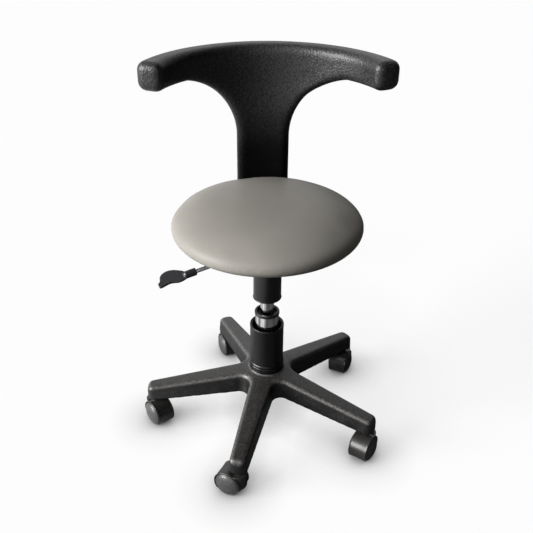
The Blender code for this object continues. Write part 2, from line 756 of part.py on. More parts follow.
def bend_back(point):
    """Takes a point of the flat T (along, depth, height) to its place on the curve."""
    angle = point.x / BACK_FACE_RADIUS
    out = (abs(angle) / math.radians(BACK_HALF_ANGLE)) ** 2
    share = smooth_share(point.z, BAR_LOW - BACK_BLEND, BAR_LOW)
    swell = BACK_END_SWELL * out
    thick = BACK_STEM_THICK + (BACK_BAR_THICK - BACK_STEM_THICK) * share + swell
    radius = BACK_FACE_RADIUS - swell + point.y / BACK_BAR_THICK * thick
    return Vector((radius * math.sin(angle), BACK_CENTRE_Y + radius * math.cos(angle), point.z))


def make_backrest(parent, foam):
    bm = prism(back_outline(), 0, BACK_BAR_THICK)
    stand = Matrix(((1, 0, 0, 0), (0, 0, 1, 0), (0, 1, 0, 0), (0, 0, 0, 1)))
    moved(bm, stand)
    bmesh.ops.recalc_face_normals(bm, faces=bm.faces)
    rim = [edge for edge in bm.edges if abs(edge.verts[0].co.y - edge.verts[1].co.y) < FIT]
    bmesh.ops.bevel(
        bm, geom=rim, offset=BACK_EDGE_ROUND, segments=BACK_EDGE_STEPS, profile=0.5, affect="EDGES"
    )
    reach = BACK_FACE_RADIUS * math.radians(BACK_HALF_ANGLE)
    for i in range(1, BACK_BENDS):
        at = reach * (2 * i / BACK_BENDS - 1)
        geometry = list(bm.verts) + list(bm.edges) + list(bm.faces)
        bmesh.ops.bisect_plane(bm, geom=geometry, dist=1e-6, plane_co=(at, 0, 0), plane_no=(1, 0, 0))
    for i in range(BACK_BLEND_STEPS + 1):
        level = BAR_LOW - BACK_BLEND * i / BACK_BLEND_STEPS
        geometry = list(bm.verts) + list(bm.edges) + list(bm.faces)
        bmesh.ops.bisect_plane(bm, geom=geometry, dist=1e-6, plane_co=(0, 0, level), plane_no=(0, 0, 1))
    for vert in bm.verts:
        vert.co = bend_back(vert.co)
    bmesh.ops.remove_doubles(bm, verts=bm.verts, dist=1e-5)
    bmesh.ops.recalc_face_normals(bm, faces=bm.faces)
    made = piece("backrest", bm, foam, parent)
    holes = []
    for level in back_bolt_levels():
        hole = moved(
            rod(BOLT_HOLE_RADIUS, 0, 2 * BACK_BOLT_GRIP),
            Matrix.Translation((0, strap_face() - BACK_BOLT_GRIP - FIT, level))
            @ Matrix.Rotation(math.radians(-90), 4, "X"),
        )
        holes.append(hole)
    boolean(made, merged(*holes))


def strap_face():
    """Front face of the strap's upright, just behind the backrest's stem."""
    return BACK_CENTRE_Y + BACK_FACE_RADIUS + BACK_STEM_THICK + FIT


def back_bolt_levels():
    return [PLATE_TOP + rise for rise in STRAP_BACK_BOLTS]


def make_strap(parent, steel, zinc):
    start = PLATE_SIDE / 2 + STRAP_GAP
    top = PLATE_TOP
    low = top - STRAP_THICK
    front = strap_face()
    rear = front + STRAP_THICK
    bend = (front - STRAP_BEND, top + STRAP_BEND)
    side = [(start, low)]
    side += arc(bend, STRAP_BEND + STRAP_THICK, 270, 360, 5)
    side += [(rear, top + STRAP_RISE), (front, top + STRAP_RISE)]
    side += arc(bend, STRAP_BEND, 360, 270, 5)
    side += [(start, top)]
    bm = prism(side, -STRAP_WIDTH / 2, STRAP_WIDTH / 2)
    upright = Matrix(((0, 0, 1, 0), (1, 0, 0, 0), (0, 1, 0, 0), (0, 0, 0, 1)))
    made = piece("back_strap", moved(bm, upright), steel, parent)
    holes = []
    for x, y in strap_bolt_places():
        hole = rod(BOLT_HOLE_RADIUS, low - STRAP_THICK, top + STRAP_THICK)
        holes.append(moved(hole, Matrix.Translation((x, y, 0))))
    for level in back_bolt_levels():
        hole = along_y(rod(BOLT_HOLE_RADIUS, -STRAP_THICK, 2 * STRAP_THICK))
        holes.append(moved(hole, Matrix.Translation((0, front, level))))
    boolean(made, merged(*holes))
    for i, (x, y) in enumerate(strap_bolt_places()):
        length = FIT + STRAP_THICK + FIT + SEAT_BOLT_GRIP
        bolt(f"strap_bolt_{i + 1}", parent, zinc, (x, y, low - FIT), length)
    for i, level in enumerate(back_bolt_levels()):
        length = FIT + STRAP_THICK + BACK_BOLT_GRIP
        bolt(f"back_bolt_{i + 1}", parent, zinc, (0, rear + FIT, level), length, level=True)


def smooth_loop(points, steps=4):
    """Closed Catmull-Rom curve through the points."""
    count = len(points)
    curve = []
    for i in range(count):
        before, start, end, after = (Vector(points[(i + k) % count]) for k in (-1, 0, 1, 2))
        for j in range(steps):
            t = j / steps
            curve.append(
                0.5
                * (
                    2 * start
                    + (end - before) * t
                    + (2 * before - 5 * start + 4 * end - after) * t**2
                    + (3 * start - before - 3 * end + after) * t**3
                )
            )
    return [(point.x, point.y) for point in curve]


def make_lever(pivot, zinc, plastic):
    """Rod and paddle in the pivot's frame: X out along the lever, Z up."""
    drop = Matrix.Rotation(math.radians(LEVER_DROP), 4, "Y")
    slope = math.cos(math.radians(LEVER_DROP))
    start = LEVER_PIVOT_REACH / slope
    lie = Matrix.Rotation(math.radians(90), 4, "Y")
    bar = moved(rod(LEVER_ROD_RADIUS, LEVER_ROD_INNER - start, LEVER_ROD_REACH - start), drop @ lie)
    made = piece("lever_rod", bar, zinc, pivot)
    tongue_low = BUTTON_TOP + FIT - PIVOT_LEVEL
    tongue_ends = (-LEVER_PIVOT_REACH - LEVER_TONGUE_PAST, LEVER_ROD_INNER - LEVER_PIVOT_REACH + LEVER_TONGUE)
    half = LEVER_ROD_RADIUS - FIT
    boolean(made, block(tongue_ends, (-half, half), (tongue_low, tongue_low + LEVER_TONGUE)), "UNION")
    hole_half = 2 * LEVER_ROD_RADIUS
    boolean(made, along_y(rod(LEVER_PIN_RADIUS + FIT, -hole_half, hole_half)))

    bore = LEVER_ROD_RADIUS + FIT
    near = SLEEVE_START - start
    far = near + SLEEVE_LENGTH
    sleeve_outline = [
        (bore, near),
        (SLEEVE_RADIUS - EDGE, near),
        (SLEEVE_RADIUS, near + EDGE),
        (SLEEVE_RADIUS, far - SLEEVE_TAPER),
        (SLEEVE_RADIUS - SLEEVE_TAPER, far),
        (0, far),
        (0, LEVER_ROD_REACH - start + FIT),
        (bore, LEVER_ROD_REACH - start + FIT),
    ]
    paddle = piece("lever_paddle", moved(turned(sleeve_outline, SLEEVE_SIDES), drop @ lie), plastic, pivot)
    leaf_points = [(far - LEAF_OVERLAP + x, y) for x, y in smooth_loop(LEAF_POINTS)]
    leaf = prism(leaf_points, -LEAF_THICK / 2, LEAF_THICK / 2)
    tilt = Matrix.Rotation(math.radians(-LEAF_TILT), 4, "X")
    boolean(paddle, moved(leaf, drop @ tilt), "UNION")


def make_button(parent, zinc):
    piece("valve_button", rod(BUTTON_RADIUS, BUTTON_TOP - BUTTON_LENGTH, BUTTON_TOP), zinc, parent)


def wheel_outline():
    """Wheel about Z from its inner face up to its domed outer face, with a blind bore."""
    flat = math.cos(math.pi / WHEEL_SIDES)
    tread = WHEEL_RADIUS / flat
    bore = (AXLE_RADIUS + FIT) / flat
    dome = tread - WHEEL_EDGE
    points = []
    for i in range(WHEEL_DOME_STEPS + 1):
        share = i / WHEEL_DOME_STEPS
        points.append((dome * share, WHEEL_WIDTH - WHEEL_DOME * share**2))
    points += [(tread, WHEEL_WIDTH - WHEEL_DOME - WHEEL_EDGE / 2), (tread, EDGE), (tread - EDGE, 0)]
    points += [(bore, 0), (bore, wheel_bore_depth()), (0, wheel_bore_depth())]
    return points


def wheel_bore_depth():
    return WHEEL_WIDTH - WHEEL_DOME


def make_caster(index, base, looks):
    nylon, steel, tyre = looks
    angle = math.radians(arm_angles()[index])
    spot = (STEM_REACH * math.cos(angle), STEM_REACH * math.sin(angle), 0)
    number = index + 1

    groove = STEM_RADIUS - RING_GROOVE_DEPTH
    stem_low = CASTER_HEIGHT - STEM_IN_BOSS
    stem_high = ARM_LOW + STEM_IN_ARM
    ring_high = stem_high - RING_DROP
    ring_low = ring_high - RING_HEIGHT
    stem = [
        (0, stem_high),
        (STEM_RADIUS - EDGE, stem_high),
        (STEM_RADIUS, stem_high - EDGE),
        (STEM_RADIUS, ring_high + FIT),
        (groove, ring_high + FIT),
        (groove, ring_low - FIT),
        (STEM_RADIUS, ring_low - FIT),
        (STEM_RADIUS, stem_low),
        (0, stem_low),
    ]
    piece(f"caster_stem_{number}", turned(stem, PIN_SIDES), steel, base, spot)
    grip = ring(groove + FIT, STEM_RADIUS, ring_low, ring_high, PIN_SIDES)
    piece(f"grip_ring_{number}", grip, steel, base, spot)

    swivel = empty(f"caster_{number}_swivel", base, spot, CASTER_TURNS[index])
    axle_at = Vector((CASTER_TRAIL, 0, WHEEL_RADIUS))
    half_step = math.radians(HOOD_FRONT_END - HOOD_BACK_END) / HOOD_STEPS / 2
    hood_inner = (WHEEL_RADIUS + HOOD_GAP) / math.cos(half_step)
    hood_outer = hood_inner + HOOD_WALL
    shell = arc((0, 0), hood_outer, HOOD_BACK_END, HOOD_FRONT_END, HOOD_STEPS)
    shell += arc((0, 0), hood_inner, HOOD_FRONT_END, HOOD_BACK_END, HOOD_STEPS)
    web = arc((0, 0), hood_inner + HOOD_WALL / 2, HOOD_BACK_END + 1, HOOD_FRONT_END - 1, HOOD_STEPS)
    web += arc((0, 0), AXLE_BOSS_RADIUS, HOOD_FRONT_END, 360 + HOOD_BACK_END, ARC_STEPS)
    upright = Matrix.Translation(axle_at) @ Matrix.Rotation(math.radians(90), 4, "X")
    half = HOOD_WIDTH / 2
    hood = piece(f"caster_hood_{number}", moved(prism(shell, -half, half), upright), nylon, swivel)
    boss_low = WHEEL_RADIUS + BOSS_RADIUS
    boss = [
        (0, CASTER_HEIGHT),
        (BOSS_RADIUS - EDGE, CASTER_HEIGHT),
        (BOSS_RADIUS, CASTER_HEIGHT - EDGE),
        (BOSS_RADIUS, boss_low),
        (0, boss_low),
    ]
    boolean(hood, turned(boss, BOSS_SIDES), "UNION")
    clear = (WHEEL_RADIUS + WELL_GAP) / math.cos(math.pi / WHEEL_SIDES)
    wells = []
    for side in (1, -1):
        span = sorted((side * (WEB_THICK / 2 - FIT), side * HOOD_WIDTH))
        wells.append(moved(along_y(rod(clear, *span, WHEEL_SIDES)), Matrix.Translation(axle_at)))
    boolean(hood, merged(*wells))
    boolean(hood, moved(prism(web, -WEB_THICK / 2, WEB_THICK / 2), upright), "UNION")
    stem_hole = rod(STEM_RADIUS + FIT, stem_low - FIT, CASTER_HEIGHT + FIT)
    axle_hole = moved(along_y(rod(AXLE_RADIUS + FIT, -half, half)), Matrix.Translation(axle_at))
    boolean(hood, merged(stem_hole, axle_hole))

    inner_face = WEB_THICK / 2 + WHEEL_GAP
    axle_half = inner_face + wheel_bore_depth() - FIT
    piece(f"caster_axle_{number}", along_y(rod(AXLE_RADIUS, -axle_half, axle_half)), steel, swivel, axle_at)
    facet_down = turn_z(90 + 180 / WHEEL_SIDES)
    for name, side in (("left", 1), ("right", -1)):
        bm = moved(turned(wheel_outline(), WHEEL_SIDES), facet_down)
        bm = moved(bm, Matrix.Translation((0, 0, inner_face)))
        bm = moved(bm, Matrix.Rotation(math.radians(-90 * side), 4, "X"))
        piece(f"caster_wheel_{name}_{number}", bm, tyre, swivel, axle_at)


def centre_on_floor(root):
    """Moves the stool so that the middle of its footprint is the origin."""
    bpy.context.view_layer.update()
    graph = bpy.context.evaluated_depsgraph_get()
    low = Vector((math.inf, math.inf, math.inf))
    high = -low
    for made in bpy.context.scene.objects:
        if made.type != "MESH" or made.hide_render:
            continue
        evaluated = made.evaluated_get(graph)
        for corner in evaluated.bound_box:
            place = evaluated.matrix_world @ Vector(corner)
            low = Vector(map(min, low, place))
            high = Vector(map(max, high, place))
    root.location = (-(low.x + high.x) / 2, -(low.y + high.y) / 2, 0)


def main():
    clear_scene()
    nylon = material("black_nylon", (0.018, 0.018, 0.018), 0.55)
    gloss = material("black_polypropylene", (0.015, 0.015, 0.016), 0.35)
    chrome = material("chromed_steel", (0.62, 0.62, 0.63), 0.12, 1.0)
    steel = material("black_painted_steel", (0.03, 0.03, 0.03), 0.5, 0.6)
    zinc = material("zinc_plated_steel", (0.55, 0.56, 0.57), 0.3, 1.0)
    rubber = material("nitrile_rubber", (0.02, 0.02, 0.02), 0.7)
    foam = material("black_polyurethane_skin", (0.012, 0.012, 0.013), 0.5)
    vinyl = material("grey_vinyl", (0.22, 0.21, 0.20), 0.42)
    wood = material("birch_plywood", (0.50, 0.36, 0.22), 0.7)
    acetal = material("black_acetal", (0.01, 0.01, 0.01), 0.4)
    tyre = material("black_wheel_nylon", (0.03, 0.03, 0.032), 0.4)

    root = empty("stool", None)
    base = empty("base", root)
    make_base(base, nylon)
    make_stand(base, chrome, acetal, gloss, zinc)
    for index in range(CASTER_COUNT):
        make_caster(index, base, (nylon, zinc, tyre))

    swivel = empty("seat_swivel", base)
    make_piston(swivel, zinc, rubber)
    carrier = empty("seat_height", swivel)
    make_lift_top(carrier, chrome, gloss, rubber)
    make_seat_plate(carrier, steel, zinc)
    make_seat(carrier, wood, vinyl)
    make_backrest(carrier, foam)
    make_strap(carrier, steel, zinc)

    pivot_at = lever_frame() @ Vector((LEVER_PIVOT_REACH, 0, PIVOT_LEVEL))
    pivot = empty("lever_pivot", carrier, pivot_at, LEVER_TURN)
    make_lever(pivot, zinc, gloss)
    make_button(carrier, zinc)
    centre_on_floor(root)


if __name__ == "__main__":
    main()
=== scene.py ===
"""Finished pieces, materials and studio of a swivel stool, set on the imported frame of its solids.

Metres, +Z up. The sitter faces -Y. Shapes of the column and the seat are drawn about the column's axis.
"""

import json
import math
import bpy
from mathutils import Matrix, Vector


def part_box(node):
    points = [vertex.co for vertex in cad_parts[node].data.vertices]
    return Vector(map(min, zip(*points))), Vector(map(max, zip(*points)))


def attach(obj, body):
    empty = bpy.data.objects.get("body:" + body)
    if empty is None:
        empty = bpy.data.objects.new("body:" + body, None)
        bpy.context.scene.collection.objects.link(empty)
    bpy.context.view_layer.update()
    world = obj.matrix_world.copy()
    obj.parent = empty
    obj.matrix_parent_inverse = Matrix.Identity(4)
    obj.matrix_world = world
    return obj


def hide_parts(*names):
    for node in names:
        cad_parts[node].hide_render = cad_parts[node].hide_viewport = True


bl_info = {
    "name": "Swivel stool",
    "version": (1, 0, 0),
    "blender": (4, 5, 0),
    "location": "3D View > Sidebar > Stool",
    "description": "Finished pieces, materials and studio for a five-star swivel stool",
    "category": "Object",
}

import bmesh
import bpy
from bpy.props import FloatProperty, FloatVectorProperty, IntProperty, PointerProperty
from mathutils import Matrix, Vector

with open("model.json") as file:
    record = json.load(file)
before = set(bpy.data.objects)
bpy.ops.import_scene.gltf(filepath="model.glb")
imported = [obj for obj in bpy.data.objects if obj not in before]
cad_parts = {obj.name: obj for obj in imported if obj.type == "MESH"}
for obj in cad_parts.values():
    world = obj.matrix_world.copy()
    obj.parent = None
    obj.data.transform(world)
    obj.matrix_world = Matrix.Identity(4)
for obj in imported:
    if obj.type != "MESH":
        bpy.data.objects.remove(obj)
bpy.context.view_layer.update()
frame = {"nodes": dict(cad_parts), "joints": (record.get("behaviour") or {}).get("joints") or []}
JOINTS = {joint["name"]: joint for joint in frame["joints"]}
UP = Vector((0, 0, 1))
COLUMN = Vector((*JOINTS["seat_swivel"]["pos_m"][:2], 0))

FIT = 0.0003
MERGE = 1e-6
FINE_SIDES = 96
SMALL_SIDES = 40
SMOOTH = 180.0  # an angle that no edge reaches

# Base, in its own plan with the first arm along X
ARM_REACH = 0.2556
ARM_ROOT_AT = 0.065
ARM_ROOT_HALF = 0.0265
ARM_TIP_HALF = 0.0198
ARM_ROOT_TOP = 0.0608  # above the arms' lowest edge
ARM_TIP_TOP = 0.0310
ARM_ROOT_LIFT = 0.0193
ARM_END_ROUND = 0.0160
ARM_NOSE = 0.0080  # rounding of the top towards the end, in the arm's own profile
ARM_WALL = 0.0045
ARM_RIB = 0.005
ARM_DEPTH = 0.040  # of the straight star before it is given its slopes
ARM_RIM = 0.0145  # part of that depth that keeps its shape
WEB_FILLET = 0.0190
HUB_BOSS_RADIUS = 0.0315
HUB_LIFT = 0.0016
HUB_FLARE = 0.0022
HUB_FLARE_REACH = 0.012
HUB_NECK = (0.012, 0.024)  # above the underside of the arms' roots
HUB_INSET = (0.0012, 0.0005)  # inside and below the collar
HOLLOW_FROM = 0.019  # past the hub's boss
HOLLOW_DRAW = 0.65  # width of a hollow's roof as a share of its foot
STEM_ROOF = 0.008  # left over a caster's stem
CUT = 0.1  # farther than the straight star reaches up or down
STAR_VOXELS = (0.0018, 0.0019)  # before and after it is given its slopes
# Sides of the arms from the foot of the drafted wall to the flat top: (in, up)
SHOULDER = ((0.0040, 0.0325), (0.0024, 0.0026), (0.0034, 0.0021), (0.0008, 0.0001))

# Casters
CASTERS = range(1, 6)
WHEEL_RADIUS = 0.025
WHEEL_RIM = 0.0130
WHEEL_DOME = 0.0055
WHEEL_GROOVE = 0.0005
WHEEL_BORE = 0.0033
DOME_INSET = 0.0024
DOME_POWER = 2.4
DOME_STEPS = 12
HOOD_INNER = 0.0264
HOOD_OUTER = 0.0280
HOOD_WIDTH = 0.0390
HOOD_BEAD = 0.0007
HOOD_BACK_END = -48.0
HOOD_FRONT_END = 199.0
HOOD_STEPS = 72
HOOD_CORNER = 0.0075
HOOD_VOXEL = 0.0007
WEB_THICK = 0.0142
WHEEL_GAP = 0.0006
WELL_RADIUS = 0.0258
BOSS_RADIUS = 0.0180
BOSS_DROP = 0.003  # below the solid's, for the shadow gap under the arm
BOSS_LIP = 0.0007
BOSS_LIP_HEIGHT = 0.0020
BOSS_FOOT = -0.004  # from the axle's level
BOSS_FOOT_ROUND = 0.007
STEM_HOLE = 0.0058
STEM_IN_BOSS = 0.0223
AXLE_HOLE = 0.0033
AXLE_BOSS_RADIUS = 0.0065

# Column
COLLAR_RADIUS = 0.0364
COLLAR_HEIGHT = 0.0150
STAND_RADIUS = 0.0245
STAND_WALL = 0.002
STAND_HOLE = 0.0045
STAND_FLOOR = 0.004
BUSH_CAP = 0.0009  # proud of the tube
BUSH_SKIRT = 0.0035
BUSH_CUP = 0.0085
TUBE_RADIUS = 0.014
TUBE_BORE = 0.0125
TUBE_HEAD = 0.0185
VALVE_HOLE = 0.0048
VALVE_DEPTH = 0.0112
LOWER_COVER_RADIUS = 0.0351
LOWER_COVER_WALL = 0.0024
LOWER_COVER_FLOOR = 0.003
LOWER_COVER_LEDGE = 0.0304
UPPER_COVER_RADIUS = 0.0281
UPPER_COVER_INNER = 0.0258
UPPER_COVER_BEAD = 0.0010
UPPER_COVER_BEAD_HEIGHT = 0.0045
UPPER_COVER_CAP = 0.0018

# Seat
SEAT_RADIUS = 0.180
CUSHION_RIM = 0.0289
CUSHION_FULL = 0.0024  # how far the vinyl stands proud of the solid
CUSHION_LEAN = 0.022  # how much fuller its lower rim hangs at the front left
CUSHION_HANG = (-0.8, -0.6, 0.0)  # direction of that from the column
CUSHION_HANG_FROM = 0.02  # above the rim
CUSHION_HANG_DEPTH = 0.03
CUSHION_SQUARENESS = 2.3
CUSHION_VOXEL = 0.004
CUSHION_SOFT = 4
CUSHION_HOLLOW = 0.0125  # depth of the recess for the board at its middle
STAPLES = 0.0135  # the cover is held up to this height above its underside
CUSHION_STEPS = 40
CUSHION_RISE = 0.0034  # how far the foam lifts the crown, so the cover starts that much lower
SWELL_ROUNDS = 40
FOAM_PRESSURE = 4.0
FOAM_FRAMES = 20
VINYL_STRETCH = 40.0
VINYL_BEND = 5.0
BOARD_RADIUS = 0.136
CUSHION_LIP = 0.004
BOLT_RADIUS = 0.003
BOLT_HEAD_RADIUS = 0.0052
BOLT_HEAD = 0.004
BOLT_FLANGE = 0.0012
BOLT_CHAMFER = 0.0006

# Back
BACK_FACE_RADIUS = 0.2132
BACK_GAP = 0.0032
BACK_HALF_ANGLE = 70.3
BACK_BAR_HEIGHT = 0.0470
BACK_BAR_THICK = 0.0423
BACK_END_SWELL = 0.0095
BACK_STEM_HALF = 0.0497
BACK_STEM_THICK = 0.030
BACK_STEM_CORNER = 0.016
BACK_FILLET = 0.140
BACK_FILLET_TURN = 78.0
BACK_END_ROUND = 0.0145
BACK_EDGE_ROUND = 0.0145
# The moulded bar is fuller than its solid: lifts of its top and its underside, as
# (at the middle, added at the ends)
BACK_TOP_LIFTS = (0.0034, 0.0036)
BACK_LOW_LIFTS = (-0.0060, 0.0055)
BACK_BAR_SHIFT = 0.0023
BACK_STEM_SHIFT = -0.0030
BACK_PAINTED_SHADE_FADE = (0.53, 0.68)  # heights between which the painted shade on the stem, darker and duller, gives way to the paler skin of the bar
BACK_BENDS = 72
BACK_BLEND = 0.055
BACK_BLEND_STEPS = 10
BACK_VOXEL = 0.0020
BACK_SOFT = 10

# Lever
LEVER_DROP = 11.0
LEVER_PIVOT_REACH = 0.028
LEVER_ROD_RADIUS = 0.004
LEVER_ROD_INNER = 0.010
LEVER_ROD_REACH = 0.163
LEVER_TONGUE = 0.004
LEVER_TONGUE_PAST = 0.006
SLEEVE_RADIUS = 0.0075
SLEEVE_START = 0.148
SLEEVE_LENGTH = 0.025
SLEEVE_TAPER = 0.003
LEAF_THICK = 0.004
LEAF_TILT = 25.0
LEAF_OVERLAP = 0.006
LEAF_LIP_FROM = 0.033
LEAF_LIP_WIDTH = 0.0030
LEAF_LIP_HEIGHT = 0.0030
LEAF_EDGE = 0.0012
PADDLE_VOXEL = 0.0006
SLEEVE_END = 0.010  # left solid past the rod
SLEEVE_CHAMFER = 0.0008
# Leaf outline from the sleeve's end: (along, across), across grows towards the front
LEAF_POINTS = (
    (0.000, -0.0060),
    (0.015, -0.0170),
    (0.029, -0.0215),
    (0.041, -0.0200),
    (0.049, -0.0140),
    (0.0515, -0.0065),
    (0.0565, 0.0020),
    (0.0545, 0.0095),
    (0.035, 0.0070),
    (0.017, 0.0110),
    (0.000, 0.0065),
)

# Camera, from the column's axis
CAMERA_BACK = 1.260
CAMERA_HEIGHT = 1.127
CAMERA_PITCH = 31.02
CAMERA_YAW = -0.096
CAMERA_ROLL = 0.587
CAMERA_LENS = 50.37
CAMERA_SENSOR = 36.0
OBJECT_TURN = -2.8

# Widths of the patterns in the materials. A wave's bands lie 0.314 of its width apart.
FLOW_CLOUD = 0.022
SCUFF = 0.006
RIPPLE = 0.009
TOOL_RINGS = 0.004
# Width of the light and dark bands painted on the chrome as reflections
PAINTED_REFLECTION_BAND = 0.008
GRIND_HAZE = 0.0012
ZINC_CLOUD = 0.005
ORANGE_PEEL = 0.0015
BLOOM = 0.003
WOOD_GRAIN = 0.002
PLIES = 0.0095
VINYL_CLOUD = 0.045
VINYL_SPECK = 0.003
PEBBLE_BEND = 0.006
SKIN_CLOUD = 0.03
PAPER_CLOUD = 0.25
MID_NOISE = (0.3, 0.7)  # values that a noise mostly takes
ALL_NOISE = (0.0, 1.0)

# Studio. Its glows, as (side, how far a direction leans to it, strength there): a faint fill,
# then the sweep and the window that polished faces mirror
GLOWS = (
    ((-0.55, 0.35, 0.75), -0.35, 0.85, 0.0, 0.06),
    ((-0.45, 0.80, 0.40), 0.1, 0.75, 0.02, 1.0),
    ((-0.25, -0.95, 0.15), 0.82, 0.97, 0.0, 1.5),
)
# Lamps, as (name, strength, spread in degrees, where it shines)
LAMPS = (("key", 8.8, 42.0, (0.92, 0.29, -0.29)), ("front", 0.5, 12.0, (0.30, 0.58, -0.73)))
FLOOR_RADIUS = 9.0
FLOOR_GLOW = 0.8  # share of the floor's look that is its own light
FLOOR_BOUNCE = 0.13  # how much of its colour it throws back on the pieces
CONTACT_REACH = 0.09  # how near a piece must be to darken the floor's glow under it, a painted contact shadow
CONTACT_POWER = 1.6
LIT_FLOOR = (-0.05, -0.50)  # across the floor, from where it mirrors dark to where it mirrors white


def linear(code):
    """Linear colour from an sRGB hex code."""
    shares = [int(code[i : i + 2], 16) / 255 for i in (1, 3, 5)]
    return tuple(s / 12.92 if s <= 0.04045 else ((s + 0.055) / 1.055) ** 2.4 for s in shares)


def length(name, description, default, low, high):
    """A length that a user may change."""
    return FloatProperty(
        name=name, description=description, default=default, min=low, max=high, precision=4, unit="LENGTH"
    )


def colour(name, description, code):
    """A colour that a user may change."""
    return FloatVectorProperty(
        name=name, description=description, default=linear(code), min=0, max=1, subtype="COLOR"
    )


class StoolSizes(bpy.types.PropertyGroup):
    """Sizes of the finished surfaces."""

    edge: length("Broken edge", "Rounding of turned and pressed edges", 0.0005, 0.0001, 0.001)
    base_speckle: length(
        "Base speckle",
        "Width of one spot of the base's sparked mould texture, drawn coarse so that it shows",
        0.0042,
        0.0002,
        0.01,
    )
    back_pebble: length(
        "Back pebble",
        "Width of one pebble of the back's moulded skin, drawn coarser than the real 2 mm to show",
        0.0036,
        0.0005,
        0.01,
    )
    vinyl_grain: length(
        "Vinyl grain", "Width of one cell of the vinyl's embossed grain", 0.0014, 0.0003, 0.01
    )
    cushion_swell: length(
        "Cushion swell", "Farthest that the cover moves as the foam fills it", 0.005, 0.0, 0.012
    )
    base_rub: IntProperty(
        name="Base softness",
        description="Rounds of smoothing that soften the base's moulded edges",
        default=5,
        min=1,
        max=30,
    )


class StoolColours(bpy.types.PropertyGroup):
    """Colours of the finishes."""

    base: colour("Base", "Glass-filled nylon of the base", "#171616")
    # Paler nylon on the base's shoulders and tops: partly wear and dust, partly a painted highlight
    rub_and_highlight: colour("Rub", "Nylon of the base where shoes rub it pale", "#514f4d")
    hood: colour("Hoods", "Nylon of the caster hoods", "#262524")
    wheel: colour("Wheels", "Nylon of the caster wheels", "#3a3a3a")
    paddle: colour("Paddle", "Nylon of the lever's paddle", "#1c1c1f")
    cover: colour("Covers", "Polypropylene of the dust covers", "#060607")
    bush: colour("Bush", "Acetal of the column's guide bush", "#0f0f0f")
    chrome: colour("Chrome", "Polished chrome of the column's tubes", "#d0d0d1")
    zinc: colour("Zinc", "Zinc plate of rods, bolts and pins", "#bdbfc2")
    steel: colour("Painted steel", "Powder coat of the seat plate and the strap", "#161617")
    rubber: colour("Rubber", "Nitrile rubber of the seals", "#141414")
    board: colour("Board", "Birch plywood under the cushion", "#c9a877")
    seat: colour("Seat", "Vinyl of the cushion's cover", "#827f79")
    back: colour("Back", "Integral skin of the backrest", "#1f1f20")
    floor: colour("Floor", "Paper sweep under the stool", "#f7f7f7")


def add(tree, kind, inputs=(), take=0, **settings):
    """Adds a shader node with its settings and its inputs, by name or in order, and gives an output."""
    node = tree.nodes.new("ShaderNode" + kind)
    for key, value in settings.items():
        setattr(node, key, value)
    for key, value in inputs.items() if isinstance(inputs, dict) else enumerate(inputs):
        if isinstance(value, bpy.types.NodeSocket):
            tree.links.new(value, node.inputs[key])
        else:
            node.inputs[key].default_value = value
    return node.outputs[take] if node.outputs else None


def blank(name):
    """An empty material, its node tree and its Object coordinates."""
    made = bpy.data.materials.get(name) or bpy.data.materials.new(name)
    made.use_nodes = True
    made.node_tree.nodes.clear()
    return made, made.node_tree, add(made.node_tree, "TexCoord", take="Object")


def shade(tree, inputs):
    """Closes a material with one Principled shader."""
    add(tree, "OutputMaterial", {"Surface": add(tree, "BsdfPrincipled", inputs)})


def toned(base, factor):
    """A colour made darker or lighter."""
    return (*(min(1.0, part * factor) for part in base), 1.0)


def mottled(name, tone, width, detail, tones, span, roughness, bump, finish):
    """A plain finish: one cloudy pattern varies its tone and its roughness and lifts its surface."""
    made, tree, place = blank(name)
    cloud = add(tree, "TexNoise", {"Vector": place, "Scale": 1 / width, "Detail": detail})
    dark, light = (toned(tone, factor) for factor in tones)
    look = {
        "Base Color": add(tree, "Mix", {"Factor": cloud, 6: dark, 7: light}, 2, data_type="RGBA"),
        "Roughness": add(tree, "MapRange", (cloud, *span, *roughness)),
    }
    if bump:
        look["Normal"] = add(tree, "Bump", {"Height": cloud, "Strength": bump[0], "Distance": bump[1]})
    shade(tree, {**look, **finish})
    return made


def smooth_nylon(name, tone):
    """Moulded in a polished tool: dark, smooth and glossy, with faint scuffs about 6 mm across."""
    finish = {"IOR": 1.53, "Specular IOR Level": 0.45}
    return mottled(name, tone, SCUFF, 5.0, (0.8, 1.35), MID_NOISE, (0.26, 0.36), (0.06, 0.0003), finish)


def polypropylene(colours):
    """Moulded in a bright tool: deep black and semi-gloss, with very faint ripples about 9 mm across."""
    name, finish = "moulded_polypropylene", {"IOR": 1.49, "Specular IOR Level": 0.4}
    return mottled(
        name, colours.cover, RIPPLE, 4.0, (0.8, 1.4), MID_NOISE, (0.28, 0.34), (0.02, 0.0003), finish
    )


def zinc_plate(colours):
    """Bright zinc over cold-drawn steel: pale, slightly blue, with soft passivation clouds 5 mm across."""
    name, finish = "zinc_plated_steel", {"Metallic": 1.0}
    return mottled(name, colours.zinc, ZINC_CLOUD, 3.0, (0.7, 1.1), ALL_NOISE, (0.18, 0.36), None, finish)


def powder_coat(colours):
    """Baked powder coat: black, satin, with a fine orange peel about 1.5 mm across."""
    name, finish = "powder_coated_steel", {"IOR": 1.5}
    return mottled(
        name, colours.steel, ORANGE_PEEL, 1.0, (0.8, 1.3), ALL_NOISE, (0.36, 0.5), (0.2, 0.0002), finish
    )


def nitrile_rubber(colours):
    """Moulded nitrile: black and dull, with a dusty bloom in 3 mm clouds."""
    name = "moulded_nitrile_rubber"
    return mottled(name, colours.rubber, BLOOM, 4.0, (0.7, 1.6), ALL_NOISE, (0.6, 0.8), None, {})


